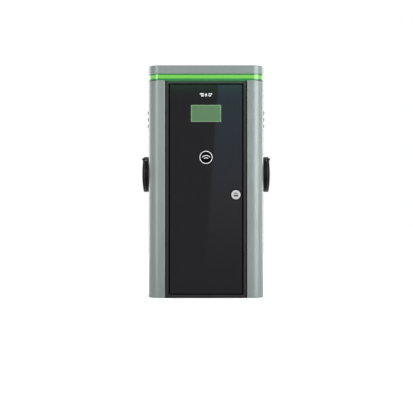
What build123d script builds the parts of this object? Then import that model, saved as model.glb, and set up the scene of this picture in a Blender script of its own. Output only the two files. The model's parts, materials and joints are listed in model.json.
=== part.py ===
"""Floor-standing charging post with a front door, a light band and two side sockets.

Millimetres. +Z is up, the door faces -Y, and the origin is the middle of the foot on the floor.
"""
import os
from math import cos, radians, sin, sqrt

from build123d import *

os.makedirs("parts", exist_ok=True)

# ---- overall size -------------------------------------------------------------------------
post_height = 1200
post_width = 608            # across the middle of the bowed sides
post_depth = 300
side_bow_radius = 900       # plan radius of each bowed side
corner_radius = 60          # plan radius of the four corners

# ---- clearances ---------------------------------------------------------------------------
seat_gap = 0.3              # between pieces that lie against each other on a curve
slip_fit = 0.02             # radial, fixed pin or bush in its hole
running_fit = 0.05          # radial, turning or sliding shaft in its hole

# ---- casing -------------------------------------------------------------------------------
base_thickness = 6
cap_height = 43
light_band_height = 32
top_plate_thickness = 3
column_inner_x = 211.5      # half the width between the front columns
column_depth = 30           # front face to the seam with the side panel
column_wall = 3
column_edge_radius = 4      # front edge beside the door frame
panel_wall = 2
cap_wall = 3
seam = 0.4
panel_lip = 32              # how far the side panel's folded ends reach inwards
light_wall = 4
light_edge_chamfer = 1.5
led_tray_inset = 14
led_tray_wall = 2
led_thickness = 2.4
led_height = 18
cap_edge_fillet = 2
pillar_x = 200
pillar_y = 80
pillar_diameter = 14
rear_panel_recess = 2
rear_panel_fold = 18
rear_vent_margin = 160       # middle of each vent from the foot or the top
rear_vent_pitch = 14
rear_vent_slots = 6
rear_vent_length = 160
rear_vent_width = 5
rear_screw_edge = 12         # screw to the panel's edge
rear_screw_pitch = 330
rear_screw_diameter = 10

# ---- foot ---------------------------------------------------------------------------------
anchor_spacing_x = 360
anchor_spacing_y = 180
anchor_hole_diameter = 14
cable_entry_width = 240
cable_entry_depth = 100
gland_plate_z = 90
gland_plate_thickness = 2
gland_plate_width = 400
gland_plate_depth = 205
gland_spacing = 120
gland_thread_diameter = 40
gland_bore_diameter = 28
gland_flange_diameter = 52
gland_length = 40

# ---- door and its frame -------------------------------------------------------------------
front_recess = 4            # door and frame lie this far behind the columns' front
frame_border = 17.3
frame_sheet = 2
frame_head = 14.5           # frame above the door opening
frame_tail = 7              # frame beyond the back of the door
frame_stop = 12             # width of the stop that the seal lies on
door_gap = 8
door_sheet = 1.5
fascia_thickness = 3
door_depth = 25
hinge_inset = 5.5           # door edge to hinge axis
hinge_pin_diameter = 6
hinge_bush_diameter = 9
hinge_bush_length = 16
hinge_bush_flange = 1.5
hinge_boss = 11
seal_width = 9
seal_gap = 1.3              # door to seal, as the hinge edge swings back a little

window_width = 155
window_height = 87
window_z = 952.5
window_lap = 3              # how far the door sheet reaches behind the window's edge
module_depth = 18
badge_z = 725.6
reader_size = 80
reader_depth = 14
reader_window_diameter = 60

# ---- lock ---------------------------------------------------------------------------------
lock_x = 154
lock_z = 532.7
rosette_diameter = 47.5
rosette_thickness = 3
barrel_diameter = 30
housing_diameter = 36
lock_nut_diameter = 48
lock_nut_thickness = 6
key_slot_width = 26
key_slot_height = 5
key_slot_depth = 2.4
cam_thickness = 2.5
cam_width = 18
cam_reach = 38
striker_thickness = 1.5
cam_gap = 0.5
cam_screw_diameter = 14

# ---- side sockets -------------------------------------------------------------------------
socket_z = 643
drum_diameter = 187
drum_face = 12              # flange face beyond the side's widest point
drum_edge_chamfer = 1
lid_gap = 0.6
lid_rim = 14.4              # height of the lid's straight side
lid_dome = 9                # how far the lid's crown stands beyond its rim
lid_edge_radius = 2
lid_wall = 3
brow_z = 80                 # underside of the fixed brow above the socket's axis
brow_depth = 14
lid_top_z = 72              # flat top of the lid above the socket's axis
lid_axis_z = 79
lid_axis_out = 16           # hinge axis beyond the flange face
knuckle_radius = 6
knuckle_clearance = 0.8
knuckle_web_width = 8
knuckle_web_height = 13
lid_knuckle_length = 60.8
knuckle_gap = 0.6
brow_knuckle_length = 15
lid_pin_diameter = 5
spigot_diameter = 144
spigot_length = 32
socket_nut_diameter = 164
socket_nut_thickness = 7
insert_diameter = 79.8
insert_recess = 7
insert_length = 84
collar_diameter = 100
collar_thickness = 6.5
well_diameter = 63
well_flat = 27
well_depth = 44
contact_block_diameter = 40
power_contact_diameter = 6.4
signal_contact_diameter = 3.6
contact_clearance = 0.1
contact_length = 34
bolt_diameter = 5
bolt_length = 30
bolt_retreat = 1
actuator_width = 32
actuator_length = 19
actuator_height = 35
seal_ring_outer = 104
seal_ring_inner = 88
seal_ring_thickness = 2.5
louvre_zs = (897, 931.5, 966)
louvre_height = 12
louvre_width = 110
louvre_proud = 5
louvre_wall = 1.5
louvre_chamfer = 2
lead_diameter = 12

# ---- equipment ----------------------------------------------------------------------------
plate_y = 78.5              # front face of the mounting plate
plate_thickness = 2.5
plate_width = 390
plate_bottom = 130
plate_top = 1060
rail_depth = 7.5
rail_height = 35
rail_length = 370
controller_rail_z = 960
breaker_rail_z = 800
contactor_rail_z = 620
terminal_rail_z = 250
device_height = 85
device_shoulder = 44
device_depth = 66
device_nose = 45
toggle_slot_height = 24
toggle_slot_depth = 13
toggle_hub_radius = 4
toggle_axle_diameter = 4
toggle_arm = 16
toggle_arm_thickness = 5
toggle_rest_angle = 40

# ---- derived places -----------------------------------------------------------------------
front_y = -post_depth / 2
rear_y = post_depth / 2
seam_y = post_depth / 2 - column_depth
side_top_z = post_height - cap_height - light_band_height - top_plate_thickness
light_z = side_top_z + top_plate_thickness
cap_z = post_height - cap_height
face_y = front_y + front_recess
side_centre_x = post_width / 2 - side_bow_radius

frame_half_width = column_inner_x - 0.2
opening_half_width = frame_half_width - frame_border
opening_bottom = base_thickness + 9
opening_top = side_top_z - frame_head
frame_top = side_top_z - 0.2
door_half_width = opening_half_width - door_gap
door_bottom = opening_bottom + door_gap
door_top = opening_top - door_gap
door_back_y = face_y + door_depth
frame_depth = door_depth + frame_tail
pan_front_y = face_y + fascia_thickness
pan_inner_y = pan_front_y + door_sheet
stop_y = door_back_y + seal_gap + 3
hinge_x = -door_half_width + hinge_inset
hinge_y = pan_inner_y + hinge_bush_diameter / 2 + 0.2
striker_y = stop_y + frame_sheet
cam_y = striker_y + striker_thickness + cam_gap

flange_x = post_width / 2 + drum_face
spigot_x = flange_x - spigot_length
insert_x = flange_x - insert_recess
insert_back_x = insert_x - insert_length
well_x = insert_x - well_depth
lid_axis_x = flange_x + lid_axis_out
bolt_x = well_x + 6
rail_y = plate_y - rail_depth
device_front_y = rail_y - device_depth


# ---- shared outlines ----------------------------------------------------------------------
def plan_outline(inset):
    """The post seen from above: flat front and rear, bowed sides, drawn inside the skin by inset."""
    half_depth = post_depth / 2 - inset
    corner_y = post_depth / 2 - corner_radius
    reach = side_bow_radius - corner_radius
    corner_x = side_centre_x + sqrt(reach**2 - corner_y**2)
    radius = corner_radius - inset
    run = (corner_x - side_centre_x) / reach
    rise = corner_y / reach
    side_x = corner_x + radius * run
    side_y = corner_y + radius * rise
    widest = post_width / 2 - inset
    middle = radius / sqrt((1 + rise) * 2)
    mid_x = corner_x + middle * run
    mid_y = corner_y + middle * (1 + rise)
    with BuildSketch() as outline:
        with BuildLine():
            Line((-corner_x, -half_depth), (corner_x, -half_depth))
            ThreePointArc((corner_x, -half_depth), (mid_x, -mid_y), (side_x, -side_y))
            ThreePointArc((side_x, -side_y), (widest, 0), (side_x, side_y))
            ThreePointArc((side_x, side_y), (mid_x, mid_y), (corner_x, half_depth))
            Line((corner_x, half_depth), (-corner_x, half_depth))
            ThreePointArc((-corner_x, half_depth), (-mid_x, mid_y), (-side_x, side_y))
            ThreePointArc((-side_x, side_y), (-widest, 0), (-side_x, -side_y))
            ThreePointArc((-side_x, -side_y), (-mid_x, -mid_y), (-corner_x, -half_depth))
        make_face()
    return outline.sketch


def save(builder, name):
    """Label a finished piece and write it."""
    builder.part.label = name
    export_step(builder.part, f"parts/{name}.step")


def save_mirrored(builder, left_name):
    """Write the left-hand copy of a right-hand piece."""
    with BuildPart() as left:
        mirror(builder.part, about=Plane.YZ)
    save(left, left_name)


# ---- foot ---------------------------------------------------------------------------------
with BuildPart() as base_plate:
    with BuildSketch():
        add(plan_outline(0))
        Rectangle(cable_entry_width, cable_entry_depth, mode=Mode.SUBTRACT)
        with GridLocations(anchor_spacing_x, anchor_spacing_y, 2, 2):
            Circle(anchor_hole_diameter / 2, mode=Mode.SUBTRACT)
    extrude(amount=base_thickness)
save(base_plate, "base_plate")

with BuildPart() as gland_plate:
    with BuildSketch(Plane.XZ.offset(-gland_plate_depth / 2)):
        with Locations((0, base_thickness)):
            Rectangle(
                gland_plate_width,
                gland_plate_z + gland_plate_thickness - base_thickness,
                align=(Align.CENTER, Align.MIN),
            )
            Rectangle(
                gland_plate_width - 2 * gland_plate_thickness,
                gland_plate_z - base_thickness,
                align=(Align.CENTER, Align.MIN),
                mode=Mode.SUBTRACT,
            )
    extrude(amount=gland_plate_depth)
    with BuildSketch(Plane.XY.offset(gland_plate_z)):
        with GridLocations(gland_spacing, 0, 2, 1):
            Circle(gland_thread_diameter / 2 + slip_fit)
    extrude(amount=gland_plate_thickness, mode=Mode.SUBTRACT)
save(gland_plate, "gland_plate")

with BuildPart() as supply_glands:
    gland_bottom = gland_plate_z - 12
    with BuildSketch(Plane.XY.offset(gland_bottom)):
        with GridLocations(gland_spacing, 0, 2, 1):
            Circle(gland_thread_diameter / 2)
    extrude(amount=gland_length)
    with BuildSketch(Plane.XY.offset(gland_plate_z + gland_plate_thickness)):
        with GridLocations(gland_spacing, 0, 2, 1):
            RegularPolygon(gland_flange_diameter / 2, 6)
    extrude(amount=9)
    with BuildSketch(Plane.XY.offset(gland_bottom)):
        with GridLocations(gland_spacing, 0, 2, 1):
            Circle(gland_bore_diameter / 2)
    extrude(amount=gland_length, mode=Mode.SUBTRACT)
save(supply_glands, "supply_glands")


# ---- columns and panels -------------------------------------------------------------------
def build_column(front):
    """Right-hand column, closed hollow section, at the front (-1) or the rear (+1)."""
    corner_box_width = post_width / 2 - column_inner_x
    corner_centre = column_inner_x + corner_box_width / 2
    with BuildPart() as column:
        with BuildSketch(Plane.XY.offset(base_thickness)) as profile:
            add(plan_outline(0))
            with Locations((corner_centre, front * (seam_y + column_depth / 2))):
                Rectangle(corner_box_width, column_depth, mode=Mode.INTERSECT)
            inner_edge = profile.vertices().sort_by_distance((column_inner_x, front * post_depth / 2))[0]
            fillet(inner_edge, column_edge_radius)
            offset(amount=-column_wall, kind=Kind.INTERSECTION, mode=Mode.SUBTRACT)
        extrude(amount=side_top_z - base_thickness)
    return column


right_front_column = build_column(-1)
save(right_front_column, "right_front_column")
save_mirrored(right_front_column, "left_front_column")
right_rear_column = build_column(1)
save(right_rear_column, "right_rear_column")
save_mirrored(right_rear_column, "left_rear_column")


def louvre_band(z, height, outer_inset, inner_inset, width, edge_chamfer=0):
    """A curved band that follows the bowed right side, its outer edges chamfered."""
    with BuildPart() as band:
        with BuildSketch(Plane.XY.offset(z)):
            add(plan_outline(outer_inset))
            add(plan_outline(inner_inset), mode=Mode.SUBTRACT)
            with Locations((post_width / 2, 0)):
                Rectangle(post_width / 2, width, mode=Mode.INTERSECT)
        extrude(amount=height)
        if edge_chamfer > 0:
            chamfer(band.faces().sort_by(Axis.X)[-1].edges(), edge_chamfer)
    return band.part


with BuildPart() as right_side_panel:
    panel_half = seam_y - seam
    panel_inner_x = post_width / 2 - panel_lip
    with BuildSketch(Plane.XY.offset(base_thickness)):
        add(plan_outline(0))
        with Locations((panel_inner_x, 0)):
            Rectangle(panel_lip, 2 * panel_half, align=(Align.MIN, Align.CENTER), mode=Mode.INTERSECT)
    extrude(amount=side_top_z - base_thickness)
    with BuildSketch(Plane.XY.offset(base_thickness)):
        add(plan_outline(panel_wall))
        with Locations((panel_inner_x, 0)):
            Rectangle(
                panel_lip,
                2 * (panel_half - panel_wall),
                align=(Align.MIN, Align.CENTER),
                mode=Mode.INTERSECT,
            )
    extrude(amount=side_top_z - base_thickness, mode=Mode.SUBTRACT)
    for louvre_z in louvre_zs:
        hood_z = louvre_z - louvre_height / 2
        hood = louvre_band(hood_z, louvre_height, -louvre_proud, 1, louvre_width, louvre_chamfer)
        add(hood)
        vent = louvre_band(
            hood_z - 0.5,
            louvre_height + 0.5 - louvre_wall,
            -louvre_proud + louvre_wall + louvre_chamfer / 2,
            2 * panel_wall,
            louvre_width - 2 * louvre_wall - 2 * louvre_chamfer,
        )
        add(vent, mode=Mode.SUBTRACT)
    with BuildSketch(Plane.YZ.offset(post_width / 2 + louvre_proud)):
        with Locations((0, socket_z)):
            Circle(spigot_diameter / 2 + seat_gap)
    extrude(amount=-(panel_lip + louvre_proud), mode=Mode.SUBTRACT)
save(right_side_panel, "right_side_panel")
save_mirrored(right_side_panel, "left_side_panel")

with BuildPart() as rear_panel:
    panel_back_y = rear_y - rear_panel_recess
    panel_tall = frame_top - base_thickness
    panel_mid_z = base_thickness + panel_tall / 2
    with BuildSketch(Plane.XZ.offset(-panel_back_y)):
        with Locations((0, panel_mid_z)):
            Rectangle(2 * frame_half_width, panel_tall)
    extrude(amount=rear_panel_fold)
    with BuildSketch(Plane.XZ.offset(-panel_back_y + panel_wall)):
        with Locations((0, panel_mid_z)):
            Rectangle(2 * (frame_half_width - panel_wall), panel_tall - 2 * panel_wall)
    extrude(amount=rear_panel_fold, mode=Mode.SUBTRACT)
    with BuildSketch(Plane.XZ.offset(-panel_back_y)):
        for vent_z in (rear_vent_margin, post_height - rear_vent_margin):
            with Locations((0, vent_z)):
                with GridLocations(0, rear_vent_pitch, 1, rear_vent_slots):
                    SlotOverall(rear_vent_length, rear_vent_width)
        with Locations((0, panel_mid_z)):
            with GridLocations(2 * (frame_half_width - rear_screw_edge), rear_screw_pitch, 2, 4):
                Circle(2.8)
    extrude(amount=panel_wall, mode=Mode.SUBTRACT)
save(rear_panel, "rear_panel")

with BuildPart() as rear_panel_screws:
    with BuildSketch(Plane.XZ.offset(-panel_back_y)):
        with Locations((0, panel_mid_z)):
            with GridLocations(2 * (frame_half_width - rear_screw_edge), rear_screw_pitch, 2, 4):
                Circle(rear_screw_diameter / 2)
    extrude(amount=-1.8)
    head_faces = rear_panel_screws.faces().group_by(Axis.Y)[-1]
    chamfer(head_faces.edges(), 0.8)
    with BuildSketch(Plane.XZ.offset(-panel_back_y)):
        with Locations((0, panel_mid_z)):
            with GridLocations(2 * (frame_half_width - rear_screw_edge), rear_screw_pitch, 2, 4):
                Circle(2.5)
    extrude(amount=12)
save(rear_panel_screws, "rear_panel_screws")

# ---- head: top plate, light band and cap --------------------------------------------------
with BuildPart() as top_plate:
    with BuildSketch(Plane.XY.offset(side_top_z)):
        add(plan_outline(0.5))
    extrude(amount=top_plate_thickness)
    with BuildSketch(Plane.XY.offset(light_z)):
        add(plan_outline(led_tray_inset))
        add(plan_outline(led_tray_inset + led_tray_wall), mode=Mode.SUBTRACT)
    extrude(amount=light_band_height - 4)
save(top_plate, "top_plate")

with BuildPart() as led_strip:
    with BuildSketch(Plane.XY.offset(light_z + (light_band_height - led_height) / 2)):
        add(plan_outline(led_tray_inset - led_thickness - 0.1))
        add(plan_outline(led_tray_inset - 0.1), mode=Mode.SUBTRACT)
    extrude(amount=led_height)
save(led_strip, "led_strip")

with BuildPart() as light_ring:
    with BuildSketch(Plane.XY.offset(light_z)):
        add(plan_outline(0))
        add(plan_outline(light_wall), mode=Mode.SUBTRACT)
    extrude(amount=light_band_height)
    ring_ends = light_ring.faces().filter_by(Axis.Z)
    chamfer([edge for face in ring_ends for edge in face.outer_wire().edges()], light_edge_chamfer)
save(light_ring, "light_ring")

with BuildPart() as top_cap:
    with BuildSketch(Plane.XY.offset(cap_z)):
        add(plan_outline(0))
    extrude(amount=cap_height)
    fillet(top_cap.faces().sort_by(Axis.Z)[-1].edges(), cap_edge_fillet)
    with BuildSketch(Plane.XY.offset(cap_z)):
        add(plan_outline(cap_wall))
    extrude(amount=cap_height - cap_wall, mode=Mode.SUBTRACT)
save(top_cap, "top_cap")

with BuildPart() as cap_pillars:
    with BuildSketch(Plane.XY.offset(light_z)):
        with GridLocations(2 * pillar_x, 2 * pillar_y, 2, 2):
            Circle(pillar_diameter / 2)
    extrude(amount=post_height - cap_wall - light_z)
save(cap_pillars, "cap_pillars")


# ---- door frame ---------------------------------------------------------------------------
def upright_band(y, depth, half_width, bottom, top, border):
    """A rectangular band standing in the XZ plane, going back from y, border wide."""
    middle = (bottom + top) / 2
    tall = top - bottom
    with BuildPart() as band:
        with BuildSketch(Plane.XZ.offset(-y)):
            with Locations((0, middle)):
                Rectangle(2 * half_width, tall)
                Rectangle(2 * (half_width - border), tall - 2 * border, mode=Mode.SUBTRACT)
        extrude(amount=-depth)
    return band.part


with BuildPart() as door_frame:
    with BuildSketch(Plane.XZ.offset(-face_y)):
        with Locations((0, (base_thickness + frame_top) / 2)):
            Rectangle(2 * frame_half_width, frame_top - base_thickness)
        with Locations((0, (opening_bottom + opening_top) / 2)):
            Rectangle(2 * opening_half_width, opening_top - opening_bottom, mode=Mode.SUBTRACT)
    extrude(amount=-frame_sheet)
    web_half = opening_half_width + frame_sheet
    web_bottom = opening_bottom - frame_sheet
    web_top = opening_top + frame_sheet
    add(upright_band(face_y, frame_depth, web_half, web_bottom, web_top, frame_sheet))
    add(upright_band(stop_y, frame_sheet, web_half, web_bottom, web_top, frame_sheet + frame_stop))
    with Locations((frame_half_width, face_y, base_thickness), (-frame_half_width, face_y, base_thickness)):
        with Locations((0, frame_depth / 2, (frame_top - base_thickness) / 2)):
            Box(2 * frame_sheet, frame_depth, frame_top - base_thickness)
    with BuildSketch(Plane.XZ.offset(-face_y)):
        with Locations((0, (base_thickness + frame_top) / 2)):
            Rectangle(2 * frame_half_width, frame_top - base_thickness)
    extrude(amount=-frame_depth, mode=Mode.INTERSECT)
    with BuildSketch(Plane.XY.offset(base_thickness)):
        with Locations((hinge_x, hinge_y)):
            Circle(hinge_pin_diameter / 2 + slip_fit)
    extrude(amount=frame_top - base_thickness, mode=Mode.SUBTRACT)
save(door_frame, "door_frame")

with BuildPart() as door_gasket:
    seal_half = opening_half_width - 2
    add(
        upright_band(
            door_back_y + seal_gap,
            stop_y - door_back_y - seal_gap,
            seal_half,
            opening_bottom + 2,
            opening_top - 2,
            seal_width,
        )
    )
save(door_gasket, "door_gasket")

upper_block_z = opening_top + frame_sheet
lower_block_z = base_thickness + 0.2
upper_block_height = 10
lower_block_height = opening_bottom - frame_sheet - lower_block_z

with BuildPart() as hinge_blocks:
    for block_z, block_height in ((upper_block_z, upper_block_height), (lower_block_z, lower_block_height)):
        with BuildSketch(Plane.XY.offset(block_z)):
            with Locations((hinge_x, hinge_y)):
                Rectangle(22, 14)
                Circle(hinge_pin_diameter / 2 + slip_fit, mode=Mode.SUBTRACT)
        extrude(amount=block_height)
save(hinge_blocks, "hinge_blocks")

pin_engagement = hinge_bush_length - 1
with BuildPart() as hinge_pins:
    upper_pin_bottom = door_top - pin_engagement
    lower_pin_top = door_bottom + pin_engagement
    with BuildSketch(Plane.XY.offset(upper_pin_bottom)):
        with Locations((hinge_x, hinge_y)):
            Circle(hinge_pin_diameter / 2)
    extrude(amount=upper_block_z + upper_block_height - upper_pin_bottom)
    with BuildSketch(Plane.XY.offset(lower_block_z)):
        with Locations((hinge_x, hinge_y)):
            Circle(hinge_pin_diameter / 2)
    extrude(amount=lower_pin_top - lower_block_z)
    with BuildSketch(Plane.XY.offset(opening_bottom)):
        with Locations((hinge_x, hinge_y)):
            Circle(hinge_bush_diameter / 2)
    extrude(amount=door_gap - hinge_bush_flange - seat_gap)
save(hinge_pins, "hinge_pins")

with BuildPart() as striker_plate:
    with BuildSketch(Plane.XZ.offset(-striker_y)):
        with Locations((opening_half_width - frame_stop / 2 + 0.5, lock_z)):
            Rectangle(frame_stop - 1, 44)
    extrude(amount=-striker_thickness)
save(striker_plate, "striker_plate")

# ---- door ---------------------------------------------------------------------------------
door_height = door_top - door_bottom
door_mid_z = (door_top + door_bottom) / 2

with BuildPart() as door_fascia:
    with BuildSketch(Plane.XZ.offset(-face_y)):
        with Locations((0, door_mid_z)):
            RectangleRounded(2 * door_half_width, door_height, 2)
        with Locations((0, window_z)):
            Rectangle(window_width, window_height, mode=Mode.SUBTRACT)
        with Locations((lock_x, lock_z)):
            Circle(housing_diameter / 2 + 0.2, mode=Mode.SUBTRACT)
    extrude(amount=-fascia_thickness)
save(door_fascia, "door_fascia")

with BuildPart() as door_pan:
    with BuildSketch(Plane.XZ.offset(-pan_front_y)):
        with Locations((0, door_mid_z)):
            Rectangle(2 * door_half_width, door_height)
    extrude(amount=-(door_back_y - pan_front_y))
    with BuildSketch(Plane.XZ.offset(-pan_inner_y)):
        with Locations((0, door_mid_z)):
            Rectangle(2 * (door_half_width - door_sheet), door_height - 2 * door_sheet)
    extrude(amount=-(door_back_y - pan_inner_y), mode=Mode.SUBTRACT)
    for boss_z in (door_bottom, door_top - hinge_bush_length):
        with BuildSketch(Plane.XY.offset(boss_z)):
            with Locations((-door_half_width, pan_front_y)):
                Rectangle(hinge_inset + hinge_boss / 2, hinge_boss + door_sheet, align=(Align.MIN, Align.MIN))
        extrude(amount=hinge_bush_length)
    with BuildSketch(Plane.XZ.offset(-pan_front_y)):
        with Locations((0, window_z)):
            Rectangle(window_width - 2 * window_lap, window_height - 2 * window_lap)
        with Locations((0, badge_z)):
            Circle(reader_window_diameter / 2)
        with Locations((lock_x, lock_z)):
            Circle(housing_diameter / 2 + 0.2)
    extrude(amount=-door_sheet, mode=Mode.SUBTRACT)
    with BuildSketch(Plane.XY.offset(door_bottom)):
        with Locations((hinge_x, hinge_y)):
            Circle(hinge_bush_diameter / 2 + slip_fit)
    extrude(amount=door_height, mode=Mode.SUBTRACT)
save(door_pan, "door_pan")

with BuildPart() as door_bushes:
    bush_starts = ((door_bottom, -hinge_bush_flange), (door_top - hinge_bush_length, hinge_bush_length))
    for bush_z, flange_offset in bush_starts:
        with BuildSketch(Plane.XY.offset(bush_z)):
            with Locations((hinge_x, hinge_y)):
                Circle(hinge_bush_diameter / 2)
        extrude(amount=hinge_bush_length)
        with BuildSketch(Plane.XY.offset(bush_z + flange_offset)):
            with Locations((hinge_x, hinge_y)):
                Circle(hinge_bush_diameter / 2 + 1)
        extrude(amount=hinge_bush_flange)
    with BuildSketch(Plane.XY.offset(door_bottom - door_gap)):
        with Locations((hinge_x, hinge_y)):
            Circle(hinge_pin_diameter / 2 + running_fit)
    extrude(amount=door_height + 2 * door_gap, mode=Mode.SUBTRACT)
save(door_bushes, "door_bushes")

with BuildPart() as display_window:
    with BuildSketch(Plane.XZ.offset(-face_y)):
        with Locations((0, window_z)):
            Rectangle(window_width - 0.2, window_height - 0.2)
    extrude(amount=-fascia_thickness)
save(display_window, "display_window")

with BuildPart() as display_module:
    with BuildSketch(Plane.XZ.offset(-pan_inner_y)):
        with Locations((0, window_z)):
            Rectangle(window_width + 22, window_height + 20)
    extrude(amount=-module_depth)
    with BuildSketch(Plane.XZ.offset(-pan_front_y)):
        with Locations((0, window_z)):
            Rectangle(window_width - 2 * window_lap - 1, window_height - 2 * window_lap - 1)
    extrude(amount=-door_sheet)
save(display_module, "display_module")

with BuildPart() as rfid_reader:
    with BuildSketch(Plane.XZ.offset(-pan_inner_y)):
        with Locations((0, badge_z)):
            RectangleRounded(reader_size, reader_size, 6)
    extrude(amount=-reader_depth)
save(rfid_reader, "rfid_reader")

# ---- lock ---------------------------------------------------------------------------------
with BuildPart() as lock_rosette:
    with BuildSketch(Plane.XZ.offset(-face_y)):
        with Locations((lock_x, lock_z)):
            Circle(rosette_diameter / 2)
    extrude(amount=rosette_thickness)
    fillet(lock_rosette.faces().sort_by(Axis.Y)[0].edges(), 1.2)
    with BuildSketch(Plane.XZ.offset(-face_y)):
        with Locations((lock_x, lock_z)):
            Circle(barrel_diameter / 2 + running_fit)
    extrude(amount=rosette_thickness, mode=Mode.SUBTRACT)
save(lock_rosette, "lock_rosette")

with BuildPart() as lock_housing:
    with BuildSketch(Plane.XZ.offset(-face_y)):
        with Locations((lock_x, lock_z)):
            Circle(housing_diameter / 2)
    extrude(amount=-(stop_y - face_y))
    with BuildSketch(Plane.XZ.offset(-pan_inner_y)):
        with Locations((lock_x, lock_z)):
            RegularPolygon(lock_nut_diameter / 2, 6)
    extrude(amount=-lock_nut_thickness)
    with BuildSketch(Plane.XZ.offset(-face_y)):
        with Locations((lock_x, lock_z)):
            Circle(barrel_diameter / 2 + running_fit)
    extrude(amount=-(stop_y - face_y), mode=Mode.SUBTRACT)
save(lock_housing, "lock_housing")

with BuildPart() as lock_barrel:
    barrel_front_y = face_y - rosette_thickness
    with BuildSketch(Plane.XZ.offset(-barrel_front_y)):
        with Locations((lock_x, lock_z)):
            Circle(barrel_diameter / 2)
    extrude(amount=-(cam_y - barrel_front_y))
    with BuildSketch(Plane.XZ.offset(-barrel_front_y)):
        with Locations((lock_x, lock_z - key_slot_height)):
            SlotOverall(key_slot_width, key_slot_height)
    extrude(amount=-key_slot_depth, mode=Mode.SUBTRACT)
    with BuildSketch(Plane.XZ.offset(-cam_y)):
        with Locations((lock_x, lock_z)):
            Rectangle(7, 7)
    extrude(amount=-cam_thickness)
save(lock_barrel, "lock_barrel")

with BuildPart() as lock_cam:
    with BuildSketch(Plane.XZ.offset(-cam_y)):
        with Locations((lock_x, lock_z)):
            Circle(cam_width / 2 + 2)
        with Locations((lock_x, lock_z - cam_reach / 2)):
            Rectangle(cam_width, cam_reach)
        with Locations((lock_x, lock_z)):
            Rectangle(7.1, 7.1, mode=Mode.SUBTRACT)
    extrude(amount=-cam_thickness)
    with BuildSketch(Plane.XZ.offset(-(cam_y + cam_thickness))):
        with Locations((lock_x, lock_z)):
            RegularPolygon(cam_screw_diameter / 2, 6)
    extrude(amount=-4)
save(lock_cam, "lock_cam")

# ---- side sockets, right hand -------------------------------------------------------------
with BuildPart() as right_socket_flange:
    with BuildSketch(Plane.YZ.offset(flange_x)):
        with Locations((0, socket_z)):
            Circle(drum_diameter / 2)
    extrude(amount=-(spigot_length + 4))
    chamfer(right_socket_flange.faces().sort_by(Axis.X)[-1].edges(), drum_edge_chamfer)
    with BuildSketch(Plane.XY.offset(socket_z - drum_diameter)):
        add(plan_outline(-seat_gap))
    extrude(amount=2 * drum_diameter, mode=Mode.SUBTRACT)
    with BuildSketch(Plane.YZ.offset(flange_x)):
        with Locations((0, socket_z)):
            Circle(spigot_diameter / 2)
    extrude(amount=-spigot_length)
    with BuildSketch(Plane.YZ.offset(flange_x)):
        with Locations((0, socket_z)):
            Circle(drum_diameter / 2)
        with Locations((0, socket_z + brow_z)):
            Rectangle(
                drum_diameter, drum_diameter, align=(Align.CENTER, Align.MIN), mode=Mode.INTERSECT
            )
    extrude(amount=brow_depth)
    brow_knuckle_y = lid_knuckle_length / 2 + knuckle_gap + brow_knuckle_length / 2
    for knuckle_y in (-brow_knuckle_y, brow_knuckle_y):
        with BuildSketch(Plane.XZ.offset(-knuckle_y)):
            with Locations((lid_axis_x, socket_z + lid_axis_z)):
                Circle(knuckle_radius)
        extrude(amount=brow_knuckle_length / 2, both=True)
    with BuildSketch(Plane.XZ):
        with Locations((lid_axis_x, socket_z + lid_axis_z)):
            Circle(knuckle_radius + knuckle_clearance)
    extrude(amount=lid_knuckle_length / 2 + knuckle_gap, both=True, mode=Mode.SUBTRACT)
    with BuildSketch(Plane.XZ):
        with Locations((lid_axis_x, socket_z + lid_axis_z)):
            Circle(lid_pin_diameter / 2 + slip_fit)
    extrude(amount=drum_diameter / 2, both=True, mode=Mode.SUBTRACT)
    with BuildSketch(Plane.YZ.offset(flange_x)):
        with Locations((0, socket_z)):
            Circle(insert_diameter / 2 + 0.1)
    extrude(amount=-spigot_length, mode=Mode.SUBTRACT)
save(right_socket_flange, "right_socket_flange")
save_mirrored(right_socket_flange, "left_socket_flange")

dome_radius = (drum_diameter**2 / 4 + lid_dome**2) / (2 * lid_dome)
lid_back_x = flange_x + lid_gap
lid_rim_x = lid_back_x + lid_rim


def lid_body(shrink, top_z):
    """A domed disc with a flat top at top_z, drawn inside the lid's outside by shrink."""
    radius = drum_diameter / 2 - shrink
    crown_x = lid_rim_x + lid_dome - shrink
    sphere_radius = dome_radius - shrink
    edge_x = crown_x - sphere_radius + sqrt(sphere_radius**2 - radius**2)
    with BuildPart() as body:
        with BuildSketch(Plane.XY) as profile:
            with BuildLine():
                Line((lid_back_x, 0), (lid_back_x, radius))
                Line((lid_back_x, radius), (edge_x, radius))
                RadiusArc((edge_x, radius), (crown_x, 0), sphere_radius)
                Line((crown_x, 0), (lid_back_x, 0))
            make_face()
            rim_corner = profile.vertices().group_by(Axis.Y)[-1].sort_by(Axis.X)[-1]
            fillet(rim_corner, lid_edge_radius)
        revolve(axis=Axis.X)
        with BuildSketch(Plane.YZ.offset(flange_x)):
            with Locations((0, top_z)):
                Rectangle(2 * drum_diameter, 2 * drum_diameter, align=(Align.CENTER, Align.MAX))
        extrude(amount=drum_diameter, mode=Mode.INTERSECT)
    return body.part.moved(Location((0, 0, socket_z)))


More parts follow.
